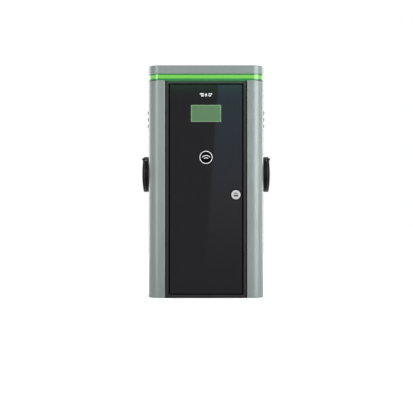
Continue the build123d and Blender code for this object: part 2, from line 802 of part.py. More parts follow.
with BuildPart() as right_lid:
    add(lid_body(0, lid_top_z))
    add(lid_body(lid_wall, lid_top_z - lid_wall), mode=Mode.SUBTRACT)
    seal_rib_x = flange_x + seal_ring_thickness + 0.4
    seal_rib_radius = (seal_ring_inner + seal_ring_outer) / 4
    with BuildSketch(Plane.YZ.offset(seal_rib_x)):
        with Locations((0, socket_z)):
            Circle(seal_rib_radius + 1)
            Circle(seal_rib_radius - 1, mode=Mode.SUBTRACT)
    rib_sagitta = dome_radius - sqrt(dome_radius**2 - seal_rib_radius**2)
    extrude(amount=lid_rim_x + lid_dome - rib_sagitta - lid_wall / 2 - seal_rib_x)
    with BuildSketch(Plane.XZ):
        with Locations((lid_axis_x, socket_z + lid_axis_z)):
            Circle(knuckle_radius)
            Rectangle(knuckle_web_width, knuckle_web_height, align=(Align.CENTER, Align.MAX))
    extrude(amount=lid_knuckle_length / 2, both=True)
    with BuildSketch(Plane.XZ):
        with Locations((lid_axis_x, socket_z + lid_axis_z)):
            Circle(lid_pin_diameter / 2 + running_fit)
    extrude(amount=lid_knuckle_length / 2, both=True, mode=Mode.SUBTRACT)
save(right_lid, "right_lid")
save_mirrored(right_lid, "left_lid")

with BuildPart() as lid_pins:
    with BuildSketch(Plane.XZ):
        with Locations(
            (lid_axis_x, socket_z + lid_axis_z), (-lid_axis_x, socket_z + lid_axis_z)
        ):
            Circle(lid_pin_diameter / 2)
    extrude(amount=lid_knuckle_length / 2 + knuckle_gap + brow_knuckle_length, both=True)
save(lid_pins, "lid_pins")

with BuildPart() as socket_seals:
    for side in (-1, 1):
        with BuildSketch(Plane.YZ.offset(side * flange_x)):
            with Locations((0, socket_z)):
                Circle(seal_ring_outer / 2)
                Circle(seal_ring_inner / 2, mode=Mode.SUBTRACT)
        extrude(amount=side * seal_ring_thickness)
save(socket_seals, "socket_seals")

with BuildPart() as socket_nuts:
    for side in (-1, 1):
        with BuildSketch(Plane.YZ.offset(side * spigot_x)):
            with Locations((0, socket_z)):
                Circle(socket_nut_diameter / 2)
                Circle(spigot_diameter / 2 + 0.1, mode=Mode.SUBTRACT)
        extrude(amount=side * socket_nut_thickness)
save(socket_nuts, "socket_nuts")

power_contact_places = ((-13.5, 0), (0, 0), (13.5, 0), (-7, -12), (7, -12))
signal_contact_places = ((-6.5, 11), (6.5, 11))
contact_back_x = insert_x - contact_length - 4

with BuildPart() as right_socket_insert:
    with BuildSketch(Plane.YZ.offset(insert_back_x)):
        with Locations((0, socket_z)):
            Circle(insert_diameter / 2)
    extrude(amount=insert_length)
    with BuildSketch(Plane.YZ.offset(spigot_x - seat_gap)):
        with Locations((0, socket_z)):
            Circle(collar_diameter / 2)
    extrude(amount=-collar_thickness)
    with BuildSketch(Plane.YZ.offset(insert_x)):
        with Locations((0, socket_z)):
            Circle(well_diameter / 2)
        with Locations((0, socket_z + well_flat)):
            Rectangle(
                well_diameter, 2 * well_diameter, align=(Align.CENTER, Align.MAX), mode=Mode.INTERSECT
            )
    extrude(amount=-well_depth, mode=Mode.SUBTRACT)
    with BuildSketch(Plane.XY.offset(socket_z + well_flat)):
        with Locations((bolt_x, 0)):
            Circle(bolt_diameter / 2 + running_fit)
    extrude(amount=insert_diameter / 2, mode=Mode.SUBTRACT)
    with BuildSketch(Plane.XY.offset(socket_z)):
        with Locations((insert_back_x + 18, 0)):
            Circle(lead_diameter / 2 + 4)
    extrude(amount=-(insert_diameter / 2 + 18))
save(right_socket_insert, "right_socket_insert")
save_mirrored(right_socket_insert, "left_socket_insert")

with BuildPart() as right_contact_block:
    with BuildSketch(Plane.YZ.offset(well_x)):
        with Locations((0, socket_z)):
            Circle(contact_block_diameter / 2)
    extrude(amount=well_depth)
    chamfer(right_contact_block.faces().sort_by(Axis.X)[-1].edges(), 1)
    with BuildSketch(Plane.YZ.offset(insert_x)):
        with Locations((0, socket_z)):
            with Locations(*power_contact_places):
                Circle(power_contact_diameter / 2 + contact_clearance)
            with Locations(*signal_contact_places):
                Circle(signal_contact_diameter / 2 + contact_clearance)
    extrude(amount=-(insert_x - contact_back_x), mode=Mode.SUBTRACT)

with BuildPart() as contact_blocks:
    add(right_contact_block.part)
    mirror(right_contact_block.part, about=Plane.YZ)
save(contact_blocks, "contact_blocks")

with BuildPart() as right_contacts:
    with BuildSketch(Plane.YZ.offset(contact_back_x)):
        with Locations((0, socket_z)):
            with Locations(*power_contact_places):
                Circle(power_contact_diameter / 2)
            with Locations(*signal_contact_places):
                Circle(signal_contact_diameter / 2)
    extrude(amount=contact_length)
    with BuildSketch(Plane.YZ.offset(contact_back_x + 6)):
        with Locations((0, socket_z)):
            with Locations(*power_contact_places):
                Circle(power_contact_diameter / 2 - 1)
            with Locations(*signal_contact_places):
                Circle(signal_contact_diameter / 2 - 0.7)
    extrude(amount=contact_length, mode=Mode.SUBTRACT)

with BuildPart() as socket_contacts:
    add(right_contacts.part)
    mirror(right_contacts.part, about=Plane.YZ)
save(socket_contacts, "socket_contacts")

actuator_z = socket_z + insert_diameter / 2 + seat_gap
actuator_x = spigot_x - 2 * seat_gap - collar_thickness - actuator_length / 2
with BuildPart() as right_actuator:
    with BuildSketch(Plane.XY.offset(actuator_z)):
        with Locations((actuator_x, 0)):
            Rectangle(actuator_length, actuator_width)
        with Locations((bolt_x, 0)):
            Circle(bolt_diameter / 2 + running_fit, mode=Mode.SUBTRACT)
    extrude(amount=actuator_height)

with BuildPart() as bolt_actuators:
    add(right_actuator.part)
    mirror(right_actuator.part, about=Plane.YZ)
save(bolt_actuators, "bolt_actuators")

with BuildPart() as right_plug_bolt:
    with BuildSketch(Plane.XY.offset(socket_z + well_flat + bolt_retreat)):
        with Locations((bolt_x, 0)):
            Circle(bolt_diameter / 2)
    extrude(amount=bolt_length)
save(right_plug_bolt, "right_plug_bolt")
save_mirrored(right_plug_bolt, "left_plug_bolt")

# ---- equipment on the mounting plate ------------------------------------------------------
with BuildPart() as mounting_plate:
    with BuildSketch(Plane.XZ.offset(-plate_y)):
        with Locations((0, (plate_bottom + plate_top) / 2)):
            RectangleRounded(plate_width, plate_top - plate_bottom, 8)
    extrude(amount=-plate_thickness)
save(mounting_plate, "mounting_plate")

with BuildPart() as plate_brackets:
    bracket_y = plate_y + plate_thickness
    for bracket_z in (plate_bottom + 60, plate_top - 100):
        for side in (-1, 1):
            with BuildSketch(Plane.XY.offset(bracket_z)):
                with Locations((side * (column_inner_x - 21), bracket_y + 1.25)):
                    Rectangle(42, 2.5)
                with Locations((side * (column_inner_x - 1.25), bracket_y + 24)):
                    Rectangle(2.5, 48)
            extrude(amount=40)
save(plate_brackets, "plate_brackets")

rail_zs = (controller_rail_z, breaker_rail_z, contactor_rail_z, terminal_rail_z)
with BuildPart() as din_rails:
    for rail_z in rail_zs:
        with BuildSketch(Plane.XZ.offset(-plate_y)):
            with Locations((0, rail_z)):
                Rectangle(rail_length, rail_height - 10)
        extrude(amount=rail_depth)
        with BuildSketch(Plane.XZ.offset(-rail_y)):
            with Locations((0, rail_z)):
                Rectangle(rail_length, rail_height)
        extrude(amount=-1)
        with BuildSketch(Plane.XZ.offset(-rail_y)):
            with Locations((0, rail_z)):
                Rectangle(rail_length, rail_height - 12)
        extrude(amount=-(rail_depth - 1), mode=Mode.SUBTRACT)
save(din_rails, "din_rails")


def build_device(x, z, width, height=device_height, depth=device_depth):
    """A rail device: a housing with a nose that stands out between its terminal shoulders."""
    with BuildPart() as device:
        with BuildSketch(Plane.XZ.offset(-rail_y)):
            with Locations((x, z)):
                Rectangle(width, height)
        extrude(amount=depth * device_shoulder / device_depth)
        with BuildSketch(Plane.XZ.offset(-rail_y)):
            with Locations((x, z)):
                Rectangle(width, height * device_nose / device_height)
        extrude(amount=depth)
        chamfer(device.edges().filter_by(Axis.X).group_by(Axis.Y)[0], 2)
    return device


breaker_x = 95
breaker_width = 74
toggle_width = 60
toggle_axis_y = device_front_y + 7.5


def build_breaker(x):
    """A four-pole breaker with a slot in its nose for the toggle and cheeks for its axle."""
    with BuildPart() as breaker:
        add(build_device(x, breaker_rail_z, breaker_width).part)
        with BuildSketch(Plane.XZ.offset(-device_front_y)):
            with Locations((x, breaker_rail_z)):
                Rectangle(toggle_width + 2, toggle_slot_height)
        extrude(amount=-toggle_slot_depth, mode=Mode.SUBTRACT)
        with BuildSketch(Plane.YZ.offset(x)):
            with Locations((toggle_axis_y, breaker_rail_z)):
                Circle(toggle_axle_diameter / 2 + running_fit)
        extrude(amount=toggle_width / 2 + 4, both=True, mode=Mode.SUBTRACT)
    return breaker


def build_toggle(x):
    """The tied toggles of the four poles on one axle, pointing up and forward when on."""
    tip_y = toggle_axis_y - toggle_arm / 2 * cos(radians(toggle_rest_angle))
    tip_z = breaker_rail_z + toggle_arm / 2 * sin(radians(toggle_rest_angle))
    with BuildPart() as toggle:
        with BuildSketch(Plane.YZ.offset(x)):
            with Locations((toggle_axis_y, breaker_rail_z)):
                Circle(toggle_hub_radius)
            with Locations(Location((tip_y, tip_z), -toggle_rest_angle)):
                Rectangle(toggle_arm, toggle_arm_thickness)
        extrude(amount=toggle_width / 2, both=True)
        with BuildSketch(Plane.YZ.offset(x)):
            with Locations((toggle_axis_y, breaker_rail_z)):
                Circle(toggle_axle_diameter / 2)
        extrude(amount=toggle_width / 2 + 3.5, both=True)
    return toggle


for side_name, side in (("left", -1), ("right", 1)):
    save(build_breaker(side * breaker_x), f"{side_name}_breaker")
    save(build_toggle(side * breaker_x), f"{side_name}_breaker_toggle")


def save_pair(name, x, z, width, height=device_height, depth=device_depth):
    """Two of the same device, one each side of the middle, in one node."""
    with BuildPart() as pair:
        add(build_device(-x, z, width, height, depth).part)
        add(build_device(x, z, width, height, depth).part)
    save(pair, name)


save_pair("charge_controllers", 110, controller_rail_z, 90, 90, 58)
save_pair("contactors", 52, contactor_rail_z, 54, 85, 60)
save_pair("energy_meters", 130, contactor_rail_z, 72, 90, 60)
save(build_device(0, controller_rail_z, 60, 90, 56), "power_supply")

terminal_pitch = 12.5
with BuildPart() as terminal_blocks:
    with BuildSketch(Plane.XZ.offset(-rail_y)):
        with Locations((0, terminal_rail_z)):
            with GridLocations(terminal_pitch, 0, 24, 1):
                Rectangle(terminal_pitch - 0.3, 60)
    extrude(amount=32)
    with BuildSketch(Plane.XZ.offset(-rail_y)):
        with Locations((0, terminal_rail_z)):
            with GridLocations(terminal_pitch, 0, 24, 1):
                Rectangle(terminal_pitch - 0.3, 34)
    extrude(amount=46)
save(terminal_blocks, "terminal_blocks")

with BuildPart() as earth_bar:
    with BuildSketch(Plane.XZ.offset(-plate_y)):
        with Locations((0, terminal_rail_z - 75)):
            with GridLocations(200, 0, 2, 1):
                Circle(7)
    extrude(amount=20)
    with BuildSketch(Plane.XZ.offset(-plate_y + 20)):
        with Locations((0, terminal_rail_z - 75)):
            Rectangle(240, 18)
            with GridLocations(20, 0, 8, 1):
                Circle(2.6, mode=Mode.SUBTRACT)
    extrude(amount=6)
save(earth_bar, "earth_bar")

# ---- leads from the sockets to the terminals ----------------------------------------------
lead_x = insert_back_x + 18
lead_top = socket_z - insert_diameter / 2 - 18
lead_end_x = 135
lead_end_y = rail_y - 16
lead_end_z = terminal_rail_z + 30 + seat_gap
lead_points = (
    (lead_x, 0, lead_top),
    (lead_x, 0, lead_top - 165),
    (lead_end_x, lead_end_y, lead_end_z + 60),
    (lead_end_x, lead_end_y, lead_end_z),
)
lead_radii = [120, 50]
with BuildPart() as right_lead:
    with BuildLine() as lead_line:
        FilletPolyline(*lead_points, radius=lead_radii)
    with BuildSketch(Plane((lead_x, 0, lead_top), z_dir=(0, 0, -1))):
        Circle(lead_diameter / 2)
    sweep()
save(right_lead, "right_socket_lead")
save_mirrored(right_lead, "left_socket_lead")
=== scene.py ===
import json
import math

import bmesh
import bpy
import mathutils
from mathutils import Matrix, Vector


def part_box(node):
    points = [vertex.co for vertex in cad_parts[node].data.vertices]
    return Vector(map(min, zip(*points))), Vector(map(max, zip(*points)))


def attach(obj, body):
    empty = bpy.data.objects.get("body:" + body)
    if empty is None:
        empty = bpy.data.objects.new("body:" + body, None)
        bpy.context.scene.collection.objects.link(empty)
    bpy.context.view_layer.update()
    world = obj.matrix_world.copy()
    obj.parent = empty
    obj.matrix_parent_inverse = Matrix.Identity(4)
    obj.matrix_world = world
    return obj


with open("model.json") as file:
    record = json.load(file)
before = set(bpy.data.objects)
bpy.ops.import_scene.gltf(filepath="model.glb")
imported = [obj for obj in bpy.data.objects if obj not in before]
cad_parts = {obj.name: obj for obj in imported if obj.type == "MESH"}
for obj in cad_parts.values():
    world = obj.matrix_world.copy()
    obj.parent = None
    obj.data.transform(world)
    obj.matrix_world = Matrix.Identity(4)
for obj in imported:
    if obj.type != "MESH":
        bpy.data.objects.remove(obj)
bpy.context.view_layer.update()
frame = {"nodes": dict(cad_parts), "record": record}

MM = 0.001
NODES = frame["nodes"]


# ---------------------------------------------------------------------------------------------
# Materials
# ---------------------------------------------------------------------------------------------
def srgb(red, green, blue):
    """A screen colour, 0 to 255, as the linear colour that a shader takes."""
    def linear(value):
        value = value / 255
        return value / 12.92 if value <= 0.04045 else ((value + 0.055) / 1.055) ** 2.4
    return (linear(red), linear(green), linear(blue), 1.0)


class Shader:
    """A node material with small helpers that keep each recipe short."""

    def __init__(self, name):
        self.material = bpy.data.materials.new(name)
        self.material.use_nodes = True
        self.tree = self.material.node_tree
        self.surface = self.tree.nodes["Principled BSDF"]
        self.coords = self.tree.nodes.new("ShaderNodeTexCoord").outputs["Object"]

    def set(self, **sockets):
        """Constants straight on the surface shader: base_color=..., coat_weight=..."""
        for name, value in sockets.items():
            self.surface.inputs[name.replace("_", " ").title().replace("Ior", "IOR")].default_value = value

    def link(self, start, end):
        self.tree.links.new(start, end)

    def stretched(self, x=1.0, y=1.0, z=1.0):
        """Object coordinates, scaled along each axis."""
        mapping = self.tree.nodes.new("ShaderNodeMapping")
        mapping.inputs["Scale"].default_value = (x, y, z)
        self.link(self.coords, mapping.inputs["Vector"])
        return mapping.outputs["Vector"]

    def noise(self, scale, detail=3.0, vector=None):
        node = self.tree.nodes.new("ShaderNodeTexNoise")
        node.inputs["Scale"].default_value = scale
        node.inputs["Detail"].default_value = detail
        self.link(vector or self.coords, node.inputs["Vector"])
        return node.outputs["Fac"]

    def cells(self, scale, vector=None):
        node = self.tree.nodes.new("ShaderNodeTexVoronoi")
        node.inputs["Scale"].default_value = scale
        self.link(vector or self.coords, node.inputs["Vector"])
        return node.outputs["Distance"]

    def span(self, value, low, high, from_low=0.3, from_high=0.7):
        """Value mapped from its usual stretch to low..high."""
        node = self.tree.nodes.new("ShaderNodeMapRange")
        node.inputs["From Min"].default_value = from_low
        node.inputs["From Max"].default_value = from_high
        node.inputs["To Min"].default_value = low
        node.inputs["To Max"].default_value = high
        self.link(value, node.inputs["Value"])
        return node.outputs["Result"]

    def tint(self, value, dark, light):
        """A colour between dark and light, picked by value."""
        node = self.tree.nodes.new("ShaderNodeMix")
        node.data_type = "RGBA"
        node.inputs["A"].default_value = dark
        node.inputs["B"].default_value = light
        self.link(value, node.inputs["Factor"])
        return node.outputs["Result"]

    def place(self, axis):
        """One object coordinate, in metres."""
        node = self.tree.nodes.new("ShaderNodeSeparateXYZ")
        self.link(self.coords, node.inputs["Vector"])
        return node.outputs[axis]

    def sum(self, operation, first, second=None):
        """A sum on one socket, with a number or another socket as the second term."""
        node = self.tree.nodes.new("ShaderNodeMath")
        node.operation = operation
        self.link(first, node.inputs[0])
        if isinstance(second, (int, float)):
            node.inputs[1].default_value = second
        elif second is not None:
            self.link(second, node.inputs[1])
        return node.outputs[0]

    def color(self, output):
        self.link(output, self.surface.inputs["Base Color"])

    def emission(self, output):
        self.link(output, self.surface.inputs["Emission Color"])

    def roughness(self, output):
        self.link(output, self.surface.inputs["Roughness"])

    def bump(self, height, strength, distance=0.0005):
        """Adds one layer of relief; later layers stand on earlier ones."""
        node = self.tree.nodes.new("ShaderNodeBump")
        node.inputs["Strength"].default_value = strength
        node.inputs["Distance"].default_value = distance
        self.link(height, node.inputs["Height"])
        normal = self.surface.inputs["Normal"]
        if normal.links:
            self.link(normal.links[0].from_socket, node.inputs["Normal"])
        self.link(node.outputs["Normal"], normal)


def scaled(color, factor):
    return tuple(channel * factor for channel in color[:3]) + (1.0,)


def paint(name, color, roughness, metallic=0.0, coat=0.3, grain=900, relief=0.12):
    """Baked powder paint: fine orange peel, faint cloudiness and handling marks in the gloss."""
    shader = Shader(name)
    shader.set(metallic=metallic, coat_weight=coat, coat_roughness=0.25)
    cloud = shader.noise(3.5, 4)
    shader.color(shader.tint(shader.span(cloud, 0, 1), scaled(color, 0.94), scaled(color, 1.05)))
    shader.roughness(shader.span(shader.noise(14, 6), roughness * 0.9, roughness * 1.12))
    shader.bump(shader.noise(grain, 2), relief)
    shader.bump(shader.cells(grain * 1.7), relief * 0.4)
    return shader.material


def two_tone_paint(name, outside, inside, half_width, roughness):
    """Powder paint that turns dark between the planes x = -half_width and x = half_width."""
    shader = Shader(name)
    shader.set(metallic=0.1, coat_weight=0.0, specular_ior_level=0.15)
    is_inside = shader.sum("LESS_THAN", shader.sum("ABSOLUTE", shader.place("X")), half_width)
    shader.color(shader.tint(is_inside, outside, inside))
    shader.roughness(shader.span(shader.noise(14, 6), roughness * 0.9, roughness * 1.12))
    shader.bump(shader.noise(900, 2), 0.12)
    return shader.material


def gloss_sheet(name, color, top):
    """Glossy sheet with dust specks and wiping marks; along its top edge a painted green glow stands in for the light
    band's spill on it.
    """
    shader = Shader(name)
    shader.set(specular_ior_level=0.5, emission_strength=1.0)
    # painted light: green glow fading in over the top 80 mm, in place of the band's light falling on the sheet
    painted_band_spill = shader.span(shader.place("Z"), 0, 1, top - 80 * MM, top)
    shader.emission(shader.tint(shader.sum("POWER", painted_band_spill, 2.0), (0, 0, 0, 1), (0.001, 0.019, 0.005, 1)))
    dust = shader.noise(420, 8)
    shader.color(shader.tint(shader.span(dust, 0, 1, 0.62, 0.8), color, scaled(color, 1.9)))
    wiped = shader.noise(9, 6, shader.stretched(1, 1, 0.25))
    shader.roughness(shader.span(wiped, 0.02, 0.045))
    shader.bump(shader.noise(5, 2), 0.01, 0.001)
    return shader.material


def moulded(name, color, roughness=0.5, grain=1400, relief=0.25, specular=0.5):
    """Moulded plastic with an etched grain."""
    shader = Shader(name)
    shader.set(specular_ior_level=specular)
    shader.color(shader.tint(shader.span(shader.noise(25, 5), 0, 1), scaled(color, 0.85), scaled(color, 1.2)))
    shader.roughness(shader.span(shader.noise(60, 4), roughness * 0.88, roughness * 1.12))
    shader.bump(shader.cells(grain), relief, 0.0003)
    shader.bump(shader.noise(grain * 0.5, 3), relief * 0.5, 0.0003)
    return shader.material


def rubber(name, color):
    """Matt rubber with a bloomed, slightly patchy skin."""
    shader = Shader(name)
    shader.set(specular_ior_level=0.3)
    shader.color(shader.tint(shader.span(shader.noise(40, 6), 0, 1), scaled(color, 0.8), scaled(color, 1.5)))
    shader.roughness(shader.span(shader.noise(90, 4), 0.7, 0.9))
    shader.bump(shader.noise(1800, 3), 0.3, 0.0002)
    return shader.material


def metal(name, color, roughness, brushed=(1, 1, 1), relief=0.06, metallic=1.0):
    """Bare metal; brushed stretches the scratches across an axis."""
    shader = Shader(name)
    shader.set(metallic=metallic)
    scratches = shader.noise(300, 6, shader.stretched(*brushed))
    shader.color(shader.tint(shader.span(shader.noise(18, 4), 0, 1), scaled(color, 0.9), scaled(color, 1.06)))
    shader.roughness(shader.span(scratches, roughness * 0.75, roughness * 1.3))
    shader.bump(scratches, relief, 0.0002)
    return shader.material


def zinc(name, color):
    """Hot-dip zinc with its spangle."""
    shader = Shader(name)
    shader.set(metallic=0.9)
    spangle = shader.cells(70)
    shader.color(shader.tint(shader.span(spangle, 0, 1, 0.1, 0.7), scaled(color, 0.82), scaled(color, 1.1)))
    shader.roughness(shader.span(spangle, 0.34, 0.55, 0.1, 0.7))
    shader.bump(shader.noise(400, 3), 0.05)
    return shader.material


def light_band(name, low_z, high_z, core, rim):
    """Translucent band that glows: bright along its middle, deeper green towards its edges."""
    shader = Shader(name)
    shader.set(coat_weight=0.6, coat_roughness=0.12, emission_strength=0.8)
    half = (high_z - low_z) / 2
    distance = shader.sum("ABSOLUTE", shader.sum("SUBTRACT", shader.place("Z"), low_z + half))
    fade = shader.span(distance, 1, 0, half * 0.42, half * 0.68)
    ripple = shader.span(shader.noise(40, 3), 0.95, 1.05)
    shader.emission(shader.tint(shader.sum("MULTIPLY", fade, ripple), rim, core))
    shader.color(shader.tint(fade, scaled(rim, 0.3), scaled(core, 0.4)))
    shader.roughness(shader.span(shader.noise(200, 3), 0.25, 0.35))
    shader.bump(shader.noise(700, 2), 0.05)
    return shader.material


def glowing(name, color, strength):
    """A small lit part with a faint unevenness in its glow."""
    shader = Shader(name)
    shader.set(roughness=0.4, emission_strength=strength)
    shader.emission(shader.tint(shader.noise(60, 2), scaled(color, 0.8), color))
    shader.color(shader.tint(shader.noise(120, 2), scaled(color, 0.4), scaled(color, 0.6)))
    return shader.material


def display_glass(name, color):
    """A green liquid-crystal window under a clear sheet, with its fine pixel grid."""
    shader = Shader(name)
    shader.set(coat_weight=0.6, coat_roughness=0.04, emission_strength=0.15)
    face = shader.tint(shader.span(shader.noise(20, 3), 0, 1), scaled(color, 0.96), scaled(color, 1.04))
    shader.color(face)
    shader.emission(face)
    grid = shader.tree.nodes.new("ShaderNodeTexWave")
    grid.inputs["Scale"].default_value = 500
    shader.link(shader.coords, grid.inputs["Vector"])
    shader.roughness(shader.span(grid.outputs["Fac"], 0.3, 0.36, 0, 1))
    shader.bump(grid.outputs["Fac"], 0.02, 0.0001)
    return shader.material


light_low, light_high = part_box("light_ring")

GREY = (0.150, 0.178, 0.173, 1)
SOFT_BLACK = srgb(6, 7, 8)
LOOK = {
    "casing_paint": paint("casing_paint", GREY, 0.46, metallic=0.25, coat=0.35),
    # The side panels take the casing grey made 1.15 times lighter: partly their own lighter paint, partly painted
    # light for the brighter light that falls on the sides.
    "side_paint": paint("side_paint", scaled(GREY, 1.15), 0.42, metallic=0.25, coat=0.35),
    "frame_paint": paint("frame_paint", SOFT_BLACK, 0.62, coat=0.0, relief=0.2),
    "base_paint": two_tone_paint("base_paint", GREY, SOFT_BLACK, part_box("door_frame")[1][0], 0.5),
    "black_gloss": gloss_sheet("black_gloss", srgb(17, 17, 19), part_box("door_fascia")[1][2]),
    "galvanised": zinc("galvanised", (0.62, 0.64, 0.66, 1)),
    "steel": metal("steel", (0.56, 0.56, 0.56, 1), 0.34),
    "light": light_band("light", light_low[2], light_high[2], srgb(98, 174, 60), srgb(10, 112, 46)),
    "led": glowing("led", srgb(150, 255, 120), 2.0),
    "seal_rubber": rubber("seal_rubber", srgb(15, 15, 16)),
    "cover_black": moulded("cover_black", srgb(10, 9, 9), 0.38, specular=0.16),
    "insert_black": moulded("insert_black", srgb(44, 45, 47), 0.5),
    "silver": metal("silver", (0.86, 0.85, 0.82, 1), 0.18),
    "device_grey": moulded("device_grey", srgb(205, 206, 202), 0.5),
    "toggle_blue": moulded("toggle_blue", srgb(40, 70, 150), 0.4),
    "dark_steel": metal("dark_steel", srgb(52, 52, 54), 0.5),
    "brass": metal("brass", (0.78, 0.56, 0.25, 1), 0.3),
    "lead_black": rubber("lead_black", srgb(38, 38, 40)),
    "lcd": display_glass("lcd", srgb(61, 91, 60)),
    "lock_chrome": metal("lock_chrome", (0.60, 0.60, 0.60, 1), 0.34, brushed=(1, 1, 6), metallic=0.6),
    "print_white": moulded("print_white", srgb(196, 198, 200), 0.35, grain=2500, relief=0.05),
    "print_grey": moulded("print_grey", srgb(120, 126, 124), 0.35, grain=2500, relief=0.05),
    # Black for the reader's printed disc, and painted shadow in the ring round the lock.
    "print_and_shadow_black": moulded("print_and_shadow_black", srgb(2, 2, 2), 0.8, grain=2500, relief=0.05, specular=0.02),
    # Near-black: painted shade where it fills the key slot, screw recesses, vent slits, the gap beside the door frame
    # and the ring round the rosette; elsewhere the own black of chips, filters and pole joints.
    "dark_hole": moulded("dark_hole", srgb(5, 5, 5), 0.7, specular=0.1),
    "lcd_edge": moulded("lcd_edge", srgb(96, 130, 95), 0.3, grain=2500, relief=0.03),
    "rim_grey": moulded("rim_grey", srgb(30, 29, 29), 0.35),
    "lock_shade": metal("lock_shade", (0.10, 0.10, 0.10, 1), 0.4),
    "lock_satin": metal("lock_satin", (0.36, 0.36, 0.36, 1), 0.38, brushed=(6, 1, 1), metallic=0.6),
    "plate_silver": metal("plate_silver", (0.78, 0.78, 0.78, 1), 0.35, brushed=(6, 1, 1)),
    "signal_red": moulded("signal_red", srgb(176, 38, 30), 0.35),
    "device_dark": moulded("device_dark", srgb(66, 70, 74), 0.45),
    "duct_grey": moulded("duct_grey", srgb(150, 153, 153), 0.55),
    "terminal_green": moulded("terminal_green", srgb(60, 140, 70), 0.4),
    "board_green": moulded("board_green", srgb(22, 80, 46), 0.35),
    # painted light: green glow for the strip under the light band, in place of the band's light in that joint
    "painted_ring_glow": glowing("painted_ring_glow", srgb(30, 122, 66), 0.8),
    "led_green": glowing("led_green", srgb(110, 255, 120), 1.5),
    "wire_brown": rubber("wire_brown", srgb(96, 58, 36)),
    "wire_blue": rubber("wire_blue", srgb(40, 84, 170)),
    "wire_black": rubber("wire_black", srgb(30, 30, 32)),
    "wire_green": rubber("wire_green", srgb(90, 150, 50)),
}

slot_of = {row["node"]: row["material_slot"] for row in frame["record"]["subparts"]}
finer_look = {"lock_barrel": "lock_satin", "lid_pins": "dark_steel", "top_plate": "frame_paint",
              "base_plate": "base_paint"}
for node_name, node in NODES.items():
    node.data.materials.clear()
    node.data.materials.append(LOOK[finer_look.get(node_name, slot_of[node_name])])


# ---------------------------------------------------------------------------------------------
# Mesh helpers
# ---------------------------------------------------------------------------------------------
def add_object(name, mesh_data, material):
    """Puts a finished bmesh into the scene."""
    mesh = bpy.data.meshes.new(name)
    mesh_data.to_mesh(mesh)
    mesh_data.free()
    item = bpy.data.objects.new(name, mesh)
    bpy.context.scene.collection.objects.link(item)
    mesh.materials.append(material)
    return item


def finish_piece(name, mesh_data, body, look):
    """Turns a bmesh into a piece of the visual model that rides on a body."""
    bmesh.ops.recalc_face_normals(mesh_data, faces=mesh_data.faces)
    piece = add_object(name, mesh_data, LOOK[look])
    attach(piece, body)


def add_prism(mesh_data, outline, back, front):
    """Extrudes a closed outline of (x, z) points from y = back to y = front."""
    rear = [mesh_data.verts.new((x, back, z)) for x, z in outline]
    face = [mesh_data.verts.new((x, front, z)) for x, z in outline]
    mesh_data.faces.new(face)
    mesh_data.faces.new(list(reversed(rear)))
    count = len(outline)
    for index in range(count):
        after = (index + 1) % count
        mesh_data.faces.new((face[index], rear[index], rear[after], face[after]))


def add_column(mesh_data, outline, low_z, high_z):
    """Extrudes a closed outline of (x, y) points from z = low_z to z = high_z."""
    rows = [[mesh_data.verts.new((x, y, z)) for x, y in outline] for z in (low_z, high_z)]
    for index in range(len(outline)):
        nxt = (index + 1) % len(outline)
        mesh_data.faces.new((rows[0][index], rows[0][nxt], rows[1][nxt], rows[1][index]))
    mesh_data.faces.new(rows[1])
    mesh_data.faces.new(list(reversed(rows[0])))


def join_loops(mesh_data, loops, whole):
    """Skins a row of equal loops; closed back on itself when whole, else with both ends capped."""
    for index in range(len(loops) if whole else len(loops) - 1):
        here, after = loops[index], loops[(index + 1) % len(loops)]
        for corner in range(len(here)):
            nxt = (corner + 1) % len(here)
            mesh_data.faces.new((here[corner], after[corner], after[nxt], here[nxt]))
    if not whole:
        mesh_data.faces.new(loops[0])
        mesh_data.faces.new(list(reversed(loops[-1])))


def arc_angles(start, stop, steps):
    """Angles in radians along an arc given in degrees, and whether it is a whole turn."""
    whole = stop - start >= 360
    count = steps if whole else steps + 1
    return [math.radians(start + (stop - start) * index / steps) for index in range(count)], whole


def add_ring(mesh_data, x, z, inner, outer, back, front, start=0.0, stop=360.0, steps=64):
    """A flat ring, or the arc of one, facing -Y."""
    angles, whole = arc_angles(start, stop, steps)
    corners = ((outer, front), (outer, back), (inner, back), (inner, front))
    loops = [
        [mesh_data.verts.new((x + math.cos(angle) * r, y, z + math.sin(angle) * r)) for r, y in corners]
        for angle in angles
    ]
    join_loops(mesh_data, loops, whole)


def middle(node):
    low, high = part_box(node)
    return [(low[axis] + high[axis]) / 2 for axis in range(3)]


def add_block(mesh_data, low, high, chamfer=0.6 * MM):
    """A block with small chamfers on every edge."""
    made = bmesh.ops.create_cube(mesh_data, size=1.0)["verts"]
    for vert in made:
        for axis in range(3):
            vert.co[axis] = low[axis] if vert.co[axis] < 0 else high[axis]
    edges = list({edge for vert in made for edge in vert.link_edges})
    bmesh.ops.bevel(mesh_data, geom=edges, offset=chamfer, segments=2, profile=0.6, affect="EDGES")


def add_span(mesh_data, origin, across, deep, tall, chamfer):
    """A chamfered block whose three (low, high) spans and chamfer are millimetres from an origin in metres."""
    low, high = (
        [place + span[end] * MM for place, span in zip(origin, (across, deep, tall))] for end in (0, 1)
    )
    add_block(mesh_data, low, high, chamfer * MM)


